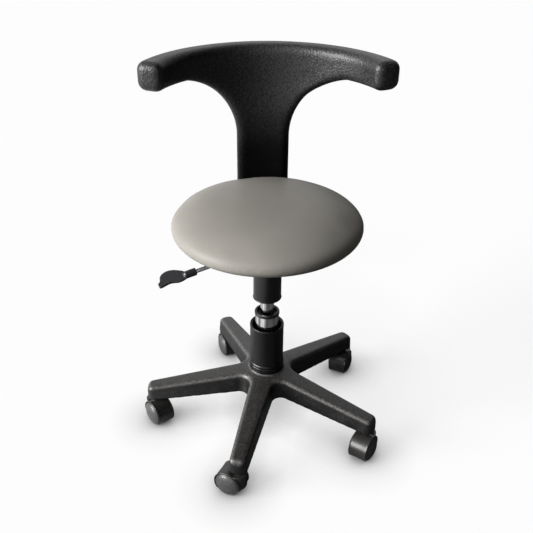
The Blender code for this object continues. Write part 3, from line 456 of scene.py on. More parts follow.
def glass_filled_nylon(colours, sizes):
    """Moulded in a sparked tool: dark satin, finely speckled, with faint flow clouds and paler shoulders and
    tops that are partly wear and dust, partly a painted highlight.
    """
    made, tree, place = blank("moulded_glass_filled_nylon")
    fine = {"Vector": place, "Scale": 1 / sizes.base_speckle, "Detail": 3.0, "Roughness": 0.65}
    speckle = add(tree, "TexNoise", fine)
    cloud = add(tree, "TexNoise", {"Vector": place, "Scale": 1 / FLOW_CLOUD, "Detail": 4.0})
    spot = add(tree, "MapRange", (speckle, 0.35, 0.7, 0, 1))
    pale = add(tree, "Math", (spot, cloud), operation="MULTIPLY")
    dark, light = toned(colours.base, 0.4), toned(colours.base, 3.0)
    body = add(tree, "Mix", {"Factor": pale, 6: dark, 7: light}, 2, data_type="RGBA")
    # Paler on the shoulders and less so on the tops: partly wear, partly a painted highlight
    worn_and_highlight = add(tree, "Attribute", take="Fac", attribute_name="wear")
    rub_and_highlight = add(tree, "MapRange", (speckle, 0.4, 0.62, 0.3, 0.95))
    rub_and_highlight = add(tree, "Math", (worn_and_highlight, rub_and_highlight), operation="MULTIPLY")
    skin = add(tree, "Mix", {"Factor": rub_and_highlight, 6: body, 7: toned(colours.rub_and_highlight, 1.0)}, 2, data_type="RGBA")
    rough = add(tree, "MapRange", (cloud, *MID_NOISE, 0.3, 0.42))
    bump = add(tree, "Bump", {"Height": speckle, "Strength": 0.6, "Distance": 0.0010})
    look = {"Base Color": skin, "Roughness": rough, "Normal": bump}
    shade(tree, {**look, "IOR": 1.53, "Specular IOR Level": 0.4})
    return made


def acetal(colours):
    """Turned acetal: black with a waxy sheen and tool rings across its axis, drawn coarse to show."""
    made, tree, place = blank("turned_acetal")
    bands = {"wave_type": "BANDS", "bands_direction": "Z"}
    rings = add(tree, "TexWave", {"Vector": place, "Scale": 1 / TOOL_RINGS}, 1, **bands)
    rough = add(tree, "MapRange", (rings, *ALL_NOISE, 0.30, 0.40))
    bump = add(tree, "Bump", {"Height": rings, "Strength": 0.05, "Distance": 0.0001})
    shade(tree, {"Base Color": (*colours.bush, 1.0), "Roughness": rough, "Normal": bump, "IOR": 1.48})
    return made


def polished_chrome(colours):
    """Chromed over ground tube: mirror-like, with light and dark bands along Z painted in its colour as
    reflections, and a haze that grinding leaves along Z.
    """
    made, tree, place = blank("polished_chrome")
    drawn = add(tree, "Mapping", {"Vector": place, "Scale": (1.0, 1.0, 0.02)})
    # Light and dark bands along Z, painted in the colour as the studio's reflections
    reflection_band = add(tree, "TexNoise", {"Vector": drawn, "Scale": 1 / PAINTED_REFLECTION_BAND, "Detail": 3.0})
    reflection_share = add(tree, "MapRange", (reflection_band, 0.4, 0.62, 0, 1))
    dark, light = toned(colours.chrome, 0.3), toned(colours.chrome, 1.3)
    body = add(tree, "Mix", {"Factor": reflection_share, 6: dark, 7: light}, 2, data_type="RGBA")
    haze = add(tree, "TexNoise", {"Vector": drawn, "Scale": 1 / GRIND_HAZE, "Detail": 2.0})
    rough = add(tree, "MapRange", (haze, *MID_NOISE, 0.07, 0.16))
    shade(tree, {"Base Color": body, "Metallic": 1.0, "Roughness": rough})
    return made


def birch_plywood(colours):
    """Sanded birch: pale, with long grain streaks along X and darker glue lines every 3 mm of height."""
    made, tree, place = blank("sanded_birch_plywood")
    drawn = add(tree, "Mapping", {"Vector": place, "Scale": (0.06, 1.0, 1.0)})
    grain = add(tree, "TexNoise", {"Vector": drawn, "Scale": 1 / WOOD_GRAIN, "Detail": 5.0})
    bands = {"wave_type": "BANDS", "bands_direction": "Z"}
    plies = add(tree, "TexWave", {"Vector": place, "Scale": 1 / PLIES}, 1, **bands)
    tone = add(tree, "Math", (grain, plies), operation="MULTIPLY")
    dark, light = toned(colours.board, 0.55), toned(colours.board, 1.15)
    body = add(tree, "Mix", {"Factor": tone, 6: dark, 7: light}, 2, data_type="RGBA")
    rough = add(tree, "MapRange", (grain, *ALL_NOISE, 0.55, 0.75))
    bump = add(tree, "Bump", {"Height": grain, "Strength": 0.15, "Distance": 0.0002})
    shade(tree, {"Base Color": body, "Roughness": rough, "Normal": bump})
    return made


def satin_vinyl(colours, sizes):
    """Calendered vinyl on cloth: satin, with a shallow leather emboss and slight stretched clouding."""
    made, tree, place = blank("embossed_satin_vinyl")
    cells = {"Vector": place, "Scale": 1 / sizes.vinyl_grain, "Smoothness": 0.6}
    grain = add(tree, "TexVoronoi", cells, "Distance", feature="SMOOTH_F1")
    cloud = add(tree, "TexNoise", {"Vector": place, "Scale": 1 / VINYL_CLOUD, "Detail": 5.0})
    fine = add(tree, "TexNoise", {"Vector": place, "Scale": 1 / VINYL_SPECK, "Detail": 3.0})
    tone = add(tree, "Mix", {"Factor": 0.35, 2: cloud, 3: fine}, data_type="FLOAT")
    dark, light = toned(colours.seat, 0.88), toned(colours.seat, 1.12)
    body = add(tree, "Mix", {"Factor": tone, 6: dark, 7: light}, 2, data_type="RGBA")
    rough = add(tree, "MapRange", (fine, *MID_NOISE, 0.36, 0.46))
    bump = add(tree, "Bump", {"Height": grain, "Strength": 0.12, "Distance": 0.0002})
    look = {"Base Color": body, "Roughness": rough, "Normal": bump}
    shade(tree, {**look, "IOR": 1.52, "Specular IOR Level": 0.1})
    return made


def integral_skin(colours, sizes):
    """Foam moulded with its own skin: black pebble grain, drawn coarse; darker and duller low on the stem as
    painted shade, paler and glossier above.
    """
    made, tree, place = blank("moulded_integral_skin_polyurethane")
    warp = add(tree, "TexNoise", {"Vector": place, "Scale": 1 / PEBBLE_BEND, "Detail": 2.0}, 1)
    bent = add(tree, "Mix", {"Factor": 0.004, 4: place, 5: warp}, 1, data_type="VECTOR")
    cells = {"Vector": bent, "Scale": 1 / sizes.back_pebble, "Smoothness": 0.4}
    pebble = add(tree, "TexVoronoi", cells, "Distance", feature="SMOOTH_F1")
    crown = add(tree, "MapRange", (pebble, 0, 0.7, 1, 0))
    cloud = add(tree, "TexNoise", {"Vector": place, "Scale": 1 / SKIN_CLOUD, "Detail": 3.0})
    height = add(tree, "SeparateXYZ", (place,), "Z")
    # Below these heights the skin is darkened and dulled as painted shade on the stem
    above_painted_shade = add(tree, "MapRange", (height, *BACK_PAINTED_SHADE_FADE, 0, 1), interpolation_type="SMOOTHSTEP")
    dark, light = toned(colours.back, 0.2), toned(colours.back, 2.1)
    paler = add(tree, "Mix", {"Factor": crown, 6: dark, 7: light}, 2, data_type="RGBA")
    plain = toned(colours.back, 0.12)
    body = add(tree, "Mix", {"Factor": above_painted_shade, 6: plain, 7: paler}, 2, data_type="RGBA")
    rough = add(tree, "MapRange", (cloud, *MID_NOISE, 0.38, 0.46))
    sheen = add(tree, "MapRange", (above_painted_shade, 0, 1, 0.06, 0.4))
    bump = add(tree, "Bump", {"Height": crown, "Strength": 0.6, "Distance": 0.0006})
    look = {"Base Color": body, "Roughness": rough, "Normal": bump}
    shade(tree, {**look, "IOR": 1.5, "Specular IOR Level": sheen})
    return made


def paper_sweep(colours):
    """Matt studio paper: white to the camera, its glow darkened under near pieces as a painted contact
    shadow, mirrored dark on the right.
    """
    made, tree, place = blank("matt_studio_paper")
    seen = add(tree, "LightPath").node.outputs
    across = add(tree, "SeparateXYZ", (place,), "X")
    lit = add(tree, "MapRange", (across, *LIT_FLOOR, 0, 1), interpolation_type="SMOOTHSTEP")
    mirrored = (seen["Is Glossy Ray"], seen["Is Transmission Ray"])
    look = add(tree, "Math", mirrored, operation="MAXIMUM")
    look = add(tree, "Math", (look, lit), operation="MULTIPLY")
    look = add(tree, "Math", (look, seen["Is Camera Ray"]), operation="MAXIMUM")
    fibre = add(tree, "TexNoise", {"Vector": place, "Scale": 1 / PAPER_CLOUD, "Detail": 2.0})
    dark, light = toned(colours.floor, 0.995), toned(colours.floor, 1.0)
    body = add(tree, "Mix", {"Factor": fibre, 6: dark, 7: light}, 2, data_type="RGBA")
    bounced = toned(colours.floor, FLOOR_BOUNCE)
    tone = add(tree, "Mix", {"Factor": look, 6: bounced, 7: body}, 2, data_type="RGBA")
    paper = add(tree, "BsdfDiffuse", {"Color": tone})
    # The floor's glow is darkened under near pieces: a painted contact shadow
    near = add(tree, "AmbientOcclusion", {"Distance": CONTACT_REACH}, "AO", samples=12)
    near = add(tree, "Math", (near, CONTACT_POWER), operation="POWER")
    glow = add(tree, "Emission", {"Strength": near})
    share = add(tree, "Math", (look, FLOOR_GLOW), operation="MULTIPLY")
    add(tree, "OutputMaterial", {"Surface": add(tree, "MixShader", (share, paper, glow))})
    return made


def arc(centre, radius, start, end, steps):
    """Points on a circle, angles in degrees, both ends included."""
    angles = [math.radians(start + (end - start) * i / steps) for i in range(steps + 1)]
    return [(centre[0] + radius * math.cos(a), centre[1] + radius * math.sin(a)) for a in angles]


def spun(axis, degrees):
    """A turn about an axis of the frame."""
    return Matrix.Rotation(math.radians(degrees), 4, axis)


def round_edges(bm, width, steps=3, sharper=30.0):
    """Bevels every edge that turns by more than an angle in degrees."""
    limit = math.radians(sharper)
    sharp = [edge for edge in bm.edges if edge.calc_face_angle(0.0) > limit]
    bmesh.ops.bevel(
        bm,
        geom=sharp,
        offset=width,
        offset_type="OFFSET",
        segments=steps,
        profile=0.5,
        affect="EDGES",
        clamp_overlap=True,
        material=-1,
    )
    bmesh.ops.dissolve_degenerate(bm, dist=MERGE, edges=bm.edges)
    return bm


def turned(outline, sides=FINE_SIDES, edge=0.0):
    """Solid of revolution about Z from a closed outline of (radius, height), with its edges broken."""
    bm = bmesh.new()
    verts = [bm.verts.new((radius, 0, height)) for radius, height in outline]
    edges = []
    for a, b in zip(verts, verts[1:] + verts[:1]):
        if a.co.x > 0 or b.co.x > 0:
            edges.append(bm.edges.new((a, b)))
    bmesh.ops.spin(
        bm, geom=verts + edges, cent=(0, 0, 0), axis=UP, angle=math.tau, steps=sides, use_merge=True
    )
    bmesh.ops.remove_doubles(bm, verts=bm.verts, dist=MERGE)
    bmesh.ops.recalc_face_normals(bm, faces=bm.faces)
    return round_edges(bm, edge) if edge else bm


def cylinder(radius, start, end, sides=SMALL_SIDES, edge=0.0):
    """Solid cylinder about Z between two levels."""
    return turned([(0, start), (radius, start), (radius, end), (0, end)], sides, edge)


def prism(outline, low, high):
    """Extrusion of a plan outline from one level to another."""
    bm = bmesh.new()
    face = bm.faces.new([bm.verts.new((x, y, low)) for x, y in outline])
    lifted = bmesh.ops.extrude_face_region(bm, geom=[face])["geom"]
    top = [item for item in lifted if isinstance(item, bmesh.types.BMVert)]
    bmesh.ops.translate(bm, verts=top, vec=(0, 0, high - low))
    bmesh.ops.recalc_face_normals(bm, faces=bm.faces)
    return bm


def placed(bm, matrix):
    """A shape moved by a matrix."""
    bmesh.ops.transform(bm, matrix=matrix, verts=bm.verts)
    return bm


def joined(*shapes):
    """Several shapes in one bmesh."""
    whole = bmesh.new()
    for shape in shapes:
        mesh = bpy.data.meshes.new("joined")
        shape.to_mesh(mesh)
        shape.free()
        whole.from_mesh(mesh)
        bpy.data.meshes.remove(mesh)
    return whole


def held(name, bm):
    """A scratch object that holds a shape while modifiers work on it."""
    mesh = bpy.data.meshes.new(name)
    bm.to_mesh(mesh)
    bm.free()
    work = bpy.data.objects.new(name, mesh)
    bpy.context.scene.collection.objects.link(work)
    return work


def taken(work):
    """The shape that a scratch object's modifiers give; the object goes."""
    graph = bpy.context.evaluated_depsgraph_get()
    made = bmesh.new()
    made.from_mesh(work.evaluated_get(graph).to_mesh())
    mesh = work.data
    bpy.data.objects.remove(work)
    bpy.data.meshes.remove(mesh)
    return made


def modified(bm, kind, **settings):
    """A shape after one modifier."""
    work = held("work", bm)
    modifier = work.modifiers.new(kind.lower(), kind)
    for key, value in settings.items():
        setattr(modifier, key, value)
    return taken(work)


def carved(bm, cutter):
    """A shape with another cut out of it."""
    tool = held("cutter", cutter)
    made = modified(bm, "BOOLEAN", operation="DIFFERENCE", solver="EXACT", object=tool)
    mesh = tool.data
    bpy.data.objects.remove(tool)
    bpy.data.meshes.remove(mesh)
    return made


def skinned(bm, voxel, rounds):
    """Closed shells joined into one even skin, with its edges rubbed soft."""
    bm = modified(bm, "REMESH", mode="VOXEL", voxel_size=voxel)
    return modified(bm, "SMOOTH", factor=0.5, iterations=rounds)


def copied(node):
    """A node's solid as one connected mesh."""
    bm = bmesh.new()
    bm.from_mesh(frame["nodes"][node].data)
    bmesh.ops.remove_doubles(bm, verts=bm.verts, dist=MERGE)
    return bm


def smooth_share(value, low, high):
    """Share of the way from one value to another, eased at both ends."""
    share = min(1.0, max(0.0, (value - low) / (high - low)))
    return share * share * (3 - 2 * share)


def mark_wear_and_highlight(bm):
    """Stores how far the nylon is painted paler, partly as wear and dust and partly as a painted highlight:
    most on the sloping shoulders, less on the flat tops.
    """
    layer = bm.verts.layers.float.new("wear")
    bm.normal_update()
    for vert in bm.verts:
        slope = vert.normal.z
        vert[layer] = smooth_share(slope, 0.2, 0.65) * (1 - 0.7 * smooth_share(slope, 0.88, 0.98))
    return bm


def piece(name, bm, look, body, nodes=(), sharp=40.0):
    """A finished piece that rides on a body and stands for its nodes."""
    mesh = bpy.data.meshes.new(name)
    bm.to_mesh(mesh)
    bm.free()
    mesh.shade_smooth()
    mesh.set_sharp_from_angle(angle=math.radians(sharp))
    mesh.materials.append(look)
    made = bpy.data.objects.new(name, mesh)
    bpy.context.scene.collection.objects.link(made)
    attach(made, body)
    if nodes:
        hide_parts(*nodes)
    return made


def dress(look, *nodes):
    """Gives nodes whose solids stay a finished material."""
    for node in nodes:
        for place in frame["nodes"][node].material_slots:
            place.material = look


def about_column(bm):
    """A shape drawn about Z, moved to the column's axis."""
    return placed(bm, Matrix.Translation(COLUMN))


def levels(node):
    """Lowest and highest level of a node."""
    low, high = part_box(node)
    return low.z, high.z


def column_piece(name, outline, edge, look, body, nodes=()):
    """A turned piece about the column's axis."""
    piece(name, about_column(turned(outline, FINE_SIDES, edge)), look, body, nodes)


def star_plan():
    """Plan of the base: five tapering arms with rounded ends, filleted where they meet."""
    slope = (ARM_TIP_HALF - ARM_ROOT_HALF) / (ARM_REACH - ARM_ROOT_AT)
    lean = math.atan(slope)
    middle = math.pi / len(CASTERS)
    side = (ARM_ROOT_HALF - ARM_ROOT_AT * slope) * math.cos(lean)
    out = (side + WEB_FILLET) / math.sin(middle - lean)
    centre = (out * math.cos(middle), out * math.sin(middle))
    start = math.degrees(lean) - 90
    end = ARM_REACH - ARM_END_ROUND
    half = ARM_TIP_HALF - ARM_END_ROUND
    arm = arc((end, -half), ARM_END_ROUND, -90, 0, 8) + arc((end, half), ARM_END_ROUND, 0, 90, 8)
    arm += arc(centre, WEB_FILLET, start, 2 * math.degrees(middle) - 270 - (start + 90), 16)
    plan = []
    for number in range(len(CASTERS)):
        turn = Matrix.Rotation(2 * middle * number, 2)
        plan += [tuple(turn @ Vector(point)) for point in arm]
    return plan


def arm_top(reach):
    """Height of the arms' top above their lowest edge."""
    share = (reach - ARM_ROOT_AT) / (ARM_REACH - ARM_ROOT_AT)
    flare = HUB_FLARE * math.exp(-max(0.0, reach - COLLAR_RADIUS) / HUB_FLARE_REACH)
    past = min(max(0.0, reach - ARM_REACH + ARM_NOSE), ARM_NOSE)
    nose = ARM_NOSE - math.sqrt(ARM_NOSE**2 - past**2)
    return ARM_ROOT_TOP + (ARM_TIP_TOP - ARM_ROOT_TOP) * share + flare - nose


def arm_underside(reach):
    """Height of the arms' lower edge above its lowest point."""
    share = (reach - ARM_ROOT_AT) / (ARM_REACH - ARM_ROOT_AT)
    return ARM_ROOT_LIFT * max(0.0, 1 - max(share, 0.0))


def arm_hollow(start, end):
    """Cutter for the hollow under an arm between two reaches, drawn in towards its roof."""
    slope = (ARM_TIP_HALF - ARM_ROOT_HALF) / (ARM_REACH - ARM_ROOT_AT)
    near, far = (ARM_ROOT_HALF + slope * (at - ARM_ROOT_AT) - ARM_WALL for at in (start, end))
    bm = prism([(start, -near), (end, -far), (end, far), (start, near)], -2 * ARM_DEPTH, -2 * ARM_WALL)
    for vert in bm.verts:
        if vert.co.z > -ARM_DEPTH:
            vert.co.y *= HOLLOW_DRAW
    return bm


def star_shape(rounds):
    """Five-star base with its first arm along X and its lowest edge at level 0."""
    rise = sum(up for _, up in SHOULDER)
    bm = prism(star_plan(), -ARM_DEPTH, -rise)
    top = max(bm.faces, key=lambda face: face.calc_center_median().z)
    for inwards, up in SHOULDER:
        bmesh.ops.inset_region(
            bm, faces=[top], use_boundary=True, use_even_offset=True, thickness=inwards, depth=up
        )
    for vert in bm.verts:
        if vert.co.z > FIT - rise and vert.co.xy.length > ARM_REACH - 2 * ARM_END_ROUND:
            vert.co += vert.co.xy.to_3d().normalized() * SHOULDER[0][0]
    stem_at = (Vector(JOINTS["caster_1_swivel"]["pos_m"]) - COLUMN).xy.length
    bore = STAND_RADIUS + FIT
    socket = STEM_HOLE + FIT
    hollow_start = HUB_BOSS_RADIUS + HOLLOW_FROM
    hollow_end = stem_at - socket - 2 * ARM_WALL
    rib = (hollow_start + hollow_end) / 2
    cuts = [cylinder(bore, -CUT, CUT, FINE_SIDES)]
    for number in range(len(CASTERS)):
        turn = Matrix.Rotation(math.tau * number / len(CASTERS), 4, "Z")
        cuts.append(placed(arm_hollow(hollow_start, rib - ARM_RIB / 2), turn))
        cuts.append(placed(arm_hollow(rib + ARM_RIB / 2, hollow_end), turn))
        hole = cylinder(socket, -CUT, -STEM_ROOF)
        cuts.append(placed(hole, turn @ Matrix.Translation((stem_at, 0, 0))))
    bm = modified(carved(bm, joined(*cuts)), "REMESH", mode="VOXEL", voxel_size=STAR_VOXELS[0])
    for vert in bm.verts:
        reach = vert.co.xy.length
        high, low = arm_top(reach), arm_underside(reach)
        if vert.co.z > -ARM_RIM:
            vert.co.z += high
        else:
            share = (vert.co.z + ARM_DEPTH) / (ARM_DEPTH - ARM_RIM)
            vert.co.z = low + (high - ARM_RIM - low) * share
    bottom, hub_top = levels("base_star")
    inset, sunk = HUB_INSET
    hub_top -= bottom + sunk
    hub = [
        (bore, HUB_LIFT),
        (HUB_BOSS_RADIUS, HUB_LIFT),
        (HUB_BOSS_RADIUS, ARM_ROOT_LIFT + HUB_NECK[0]),
        (COLLAR_RADIUS - inset, ARM_ROOT_LIFT + HUB_NECK[1]),
        (COLLAR_RADIUS - inset, hub_top),
        (bore, hub_top),
    ]
    return skinned(joined(bm, turned(hub)), STAR_VOXELS[1], rounds)


def caster_frame(number):
    """Placing of shapes drawn about a caster's axle: X trails, Y runs along the axle, Z is up."""
    axle = Vector(JOINTS[f"wheel_left_{number}_roll"]["pos_m"])
    side = Vector(JOINTS[f"wheel_left_{number}_roll"]["axis"]).normalized()
    trail = side.cross(UP)
    turn = Matrix((trail, side, UP)).transposed().to_4x4()
    return Matrix.Translation(axle) @ turn


def caster_trail():
    """Distance of a caster's axle behind its swivel."""
    swivel = Vector(JOINTS["caster_1_swivel"]["pos_m"])
    axle = Vector(JOINTS["wheel_left_1_roll"]["pos_m"])
    return (axle - swivel).xy.length


def hood_corner(point):
    """How far a hood's side draws in at a point, so that its lower corners are round."""
    turn = (math.degrees(math.atan2(point.y, point.x)) - HOOD_BACK_END) % 360
    left = math.radians(min(turn, HOOD_FRONT_END - HOOD_BACK_END - turn)) * HOOD_OUTER
    left = min(HOOD_CORNER, max(0.0, left))
    return HOOD_CORNER - math.sqrt(HOOD_CORNER**2 - (HOOD_CORNER - left) ** 2)


def hood_shape():
    """Hood about its axle: a thin shell over both wheels, the web between them and the swivel boss."""
    half = HOOD_WIDTH / 2
    upright = spun("X", 90)
    shell = arc((0, 0), HOOD_OUTER, HOOD_BACK_END, HOOD_FRONT_END, HOOD_STEPS)
    shell += arc((0, 0), HOOD_INNER, HOOD_FRONT_END, HOOD_BACK_END, HOOD_STEPS)
    middle = (HOOD_INNER + HOOD_OUTER) / 2
    web = arc((0, 0), middle, HOOD_BACK_END + 1, HOOD_FRONT_END - 1, HOOD_STEPS)
    web += arc((0, 0), AXLE_BOSS_RADIUS, HOOD_FRONT_END, 360 + HOOD_BACK_END, 12)
    to_boss = Matrix.Translation((-caster_trail(), 0, 0))
    boss_top = JOINTS["caster_1_swivel"]["pos_m"][2] - WHEEL_RADIUS - BOSS_DROP
    boss_outline = [
        (0, boss_top),
        (BOSS_RADIUS, boss_top),
        (BOSS_RADIUS, boss_top - BOSS_LIP_HEIGHT),
        (BOSS_RADIUS - BOSS_LIP, boss_top - BOSS_LIP_HEIGHT - BOSS_LIP),
    ]
    round_from = BOSS_RADIUS - BOSS_LIP - BOSS_FOOT_ROUND
    boss_outline += arc((round_from, BOSS_FOOT), BOSS_FOOT_ROUND, 0, -90, 8)
    boss_outline.append((0, BOSS_FOOT - BOSS_FOOT_ROUND))
    boss = placed(turned(boss_outline, SMALL_SIDES), to_boss)
    wells = []
    for side in (1, -1):
        low, high = sorted((side * (WEB_THICK / 2 - FIT), side * HOOD_WIDTH))
        wells.append(placed(cylinder(WELL_RADIUS, low, high, FINE_SIDES), upright))
    boss = carved(boss, joined(*wells))
    bead = arc((0, 0), HOOD_OUTER + HOOD_BEAD, HOOD_BACK_END, HOOD_FRONT_END, HOOD_STEPS)
    bead += arc((0, 0), HOOD_OUTER - HOOD_BEAD, HOOD_FRONT_END, HOOD_BACK_END, HOOD_STEPS)
    beads = [prism(bead, *ends) for ends in ((-half, 2 * HOOD_BEAD - half), (half - 2 * HOOD_BEAD, half))]
    bent = joined(prism(shell, -half, half), *beads)
    for vert in bent.verts:
        vert.co.z -= math.copysign(hood_corner(vert.co), vert.co.z)
    web = placed(prism(web, -WEB_THICK / 2, WEB_THICK / 2), upright)
    skin = skinned(joined(placed(bent, upright), web, boss), HOOD_VOXEL, 3)
    hole_low = boss_top + BOSS_DROP - STEM_IN_BOSS
    stem = placed(cylinder(STEM_HOLE, hole_low, 2 * boss_top), to_boss)
    return carved(skin, joined(stem, placed(cylinder(AXLE_HOLE, -half, half), upright)))


def wheel_shape(edge):
    """Wheel about Z from its inner face up to its domed outer face."""
    dome_edge = WHEEL_RADIUS - DOME_INSET
    rim = WHEEL_RIM
    shares = [i / DOME_STEPS for i in range(DOME_STEPS + 1)]
    outline = [(dome_edge * share, rim + WHEEL_DOME * (1 - share**DOME_POWER)) for share in shares]
    outline += [
        (dome_edge + 0.0001, rim - WHEEL_GROOVE),
        (dome_edge + WHEEL_GROOVE, rim - WHEEL_GROOVE),
        (dome_edge + WHEEL_GROOVE + 0.0001, rim - 0.0002),
        (WHEEL_RADIUS - 0.0008, rim - 0.0005),
        (WHEEL_RADIUS, rim - 0.0014),
        (WHEEL_RADIUS, 0.001),
        (WHEEL_RADIUS - 0.001, 0),
        (WHEEL_BORE, 0),
        (WHEEL_BORE, rim),
        (0, rim),
    ]
    return turned(outline, FINE_SIDES, edge / 2)


class STOOL_OT_base(bpy.types.Operator):
    """Makes the moulded five-star base and its hub collar"""

    bl_idname = "stool.base"
    bl_label = "Base"

    def execute(self, context):
        sizes, colours = context.scene.stool_sizes, context.scene.stool_colours
        nylon = glass_filled_nylon(colours, sizes)
        low, top = levels("base_star")
        first = (Vector(JOINTS["caster_1_swivel"]["pos_m"]) - COLUMN).xy.to_3d()
        turn = first.to_track_quat("X", "Z").to_matrix().to_4x4()
        place = Matrix.Translation(COLUMN + UP * low) @ turn
        star = mark_wear_and_highlight(placed(star_shape(sizes.base_rub), place))
        piece("moulded_star", star, nylon, "base", ["base_star"], SMOOTH)
        foot = top - COLLAR_HEIGHT
        collar = [
            (COLLAR_RADIUS - 0.0008, top),
            (COLLAR_RADIUS, top - 0.0012),
            (COLLAR_RADIUS, foot + 0.0030),
            (COLLAR_RADIUS - 0.0007, foot + 0.0022),
            (COLLAR_RADIUS + 0.0006, foot),
            (COLLAR_RADIUS - 0.004, foot - 0.002),
            (STAND_RADIUS + 0.001, foot),
            (STAND_RADIUS + 0.001, top),
        ]
        column_piece("hub_collar", collar, sizes.edge, polypropylene(colours), "base")
        return {"FINISHED"}


class STOOL_OT_casters(bpy.types.Operator):
    """Makes the five twin-wheel casters: hoods and wheels, with plated stems and axles"""

    bl_idname = "stool.casters"
    bl_label = "Casters"

    def execute(self, context):
        sizes, colours = context.scene.stool_sizes, context.scene.stool_colours
        shell = smooth_nylon("moulded_hood_nylon", colours.hood)
        tyre = smooth_nylon("moulded_wheel_nylon", colours.wheel)
        zinc = zinc_plate(colours)
        hood = hood_shape()
        wheel = placed(wheel_shape(sizes.edge), Matrix.Translation((0, 0, WEB_THICK / 2 + WHEEL_GAP)))
        for number in CASTERS:
            place = caster_frame(number)
            node, body = f"caster_hood_{number}", f"caster_{number}"
            shape = placed(hood.copy(), place)
            piece(f"moulded_hood_{number}", shape, shell, body, [node], SMOOTH)
            for name, side in (("left", 1), ("right", -1)):
                shape = placed(wheel.copy(), place @ spun("X", -90 * side))
                body = f"wheel_{name}_{number}"
                piece(f"moulded_{body}", shape, tyre, body, [f"caster_{body}"])
            dress(zinc, f"caster_stem_{number}", f"grip_ring_{number}", f"caster_axle_{number}")
        hood.free()
        wheel.free()
        return {"FINISHED"}


class STOOL_OT_gas_lift(bpy.types.Operator):
    """Makes the column: stand tube, bush, telescopic covers and pressure tube, with the parts inside them"""

    bl_idname = "stool.gas_lift"
    bl_label = "Gas lift"

    def execute(self, context):
        sizes, colours = context.scene.stool_sizes, context.scene.stool_colours
        edge = sizes.edge
        chrome = polished_chrome(colours)
        plastic = polypropylene(colours)
        zinc = zinc_plate(colours)

        low, high = levels("stand_tube")
        inner = STAND_RADIUS - STAND_WALL
        floor = low + STAND_FLOOR
        stand = [(STAND_RADIUS, high), (STAND_RADIUS, low), (STAND_HOLE, low), (STAND_HOLE, floor)]
        stand += [(inner, floor), (inner, high)]
        column_piece("chromed_stand", stand, edge, chrome, "base", ["stand_tube"])

        flange_low = high + FIT
        low, high = levels("guide_bush")
        bore = TUBE_RADIUS + FIT
        cap = STAND_RADIUS + BUSH_CAP
        bush = [
            (STAND_RADIUS + 0.0001, flange_low),
            (STAND_RADIUS + 0.0001, flange_low - BUSH_SKIRT),
            (cap, flange_low - BUSH_SKIRT),
            (cap, high - 0.0010),
            (cap - 0.0010, high),
            (inner - 0.0012, high),
            (inner - 0.0018, high - 0.0010),
            (inner - 0.0018, high - BUSH_CUP),
            (bore, high - BUSH_CUP),
            (bore, low),
            (inner - FIT, low),
            (inner - FIT, flange_low),
        ]
        column_piece("turned_bush", bush, edge / 2, acetal(colours), "base", ["guide_bush"])

        low, high = levels("lower_dust_cover")
        radius = LOWER_COVER_RADIUS
        wall = radius - LOWER_COVER_WALL
        cover = [
            (radius - 0.0014, high),
            (radius - 0.0004, high - 0.0004),
            (radius, high - 0.0014),
            (radius, high - 0.0060),
            (radius - 0.0004, high - 0.0066),
            (radius - 0.0004, low + 0.0054),
            (radius + 0.0006, low + 0.0044),
            (radius + 0.0010, low + 0.0030),
            (radius + 0.0006, low + 0.0014),
            (radius - 0.0006, low),
            (STAND_RADIUS + FIT, low),
            (STAND_RADIUS + FIT, low + LOWER_COVER_FLOOR),
            (wall, low + LOWER_COVER_FLOOR),
            (wall, high - 0.0130),
            (LOWER_COVER_LEDGE, high - 0.0110),
            (LOWER_COVER_LEDGE, high - 0.0030),
            (LOWER_COVER_LEDGE + 0.0006, high - 0.0022),
            (wall - 0.0004, high - 0.0022),
            (wall, high - 0.0008),
            (wall + 0.0008, high),
        ]
        column_piece("lower_sleeve", cover, edge / 2, plastic, "base", ["lower_dust_cover"])

        low, high = levels("upper_dust_cover")
        bead_high = low + UPPER_COVER_BEAD_HEIGHT
        middle = (low + bead_high) / 2
        cover = [(UPPER_COVER_RADIUS, high), (UPPER_COVER_RADIUS, bead_high + 2 * UPPER_COVER_BEAD)]
        cover += arc((UPPER_COVER_RADIUS, middle), UPPER_COVER_BEAD, 75, -90, 10)
        cover += [
            (UPPER_COVER_INNER, low),
            (UPPER_COVER_INNER, high - UPPER_COVER_CAP),
            (TUBE_RADIUS + FIT, high - UPPER_COVER_CAP),
            (TUBE_RADIUS + FIT, high),
        ]
        nodes = ["upper_dust_cover"]
        column_piece("upper_sleeve", cover, edge / 2, plastic, "seat_carrier", nodes)

        low, high = levels("pressure_tube")
        tube = [
            (VALVE_HOLE, high),
            (TUBE_RADIUS, high),
            (TUBE_RADIUS, low),
            (TUBE_BORE, low),
            (TUBE_BORE, high - TUBE_HEAD),
            (0, high - TUBE_HEAD),
            (0, high - VALVE_DEPTH),
            (VALVE_HOLE, high - VALVE_DEPTH),
        ]
        nodes = ["pressure_tube"]
        column_piece("chromed_pressure_tube", tube, edge, chrome, "seat_carrier", nodes)

        dress(zinc, "thrust_bearing", "piston_rod", "retaining_clip", "valve_button")
        dress(nitrile_rubber(colours), "piston", "tube_seal")
        return {"FINISHED"}


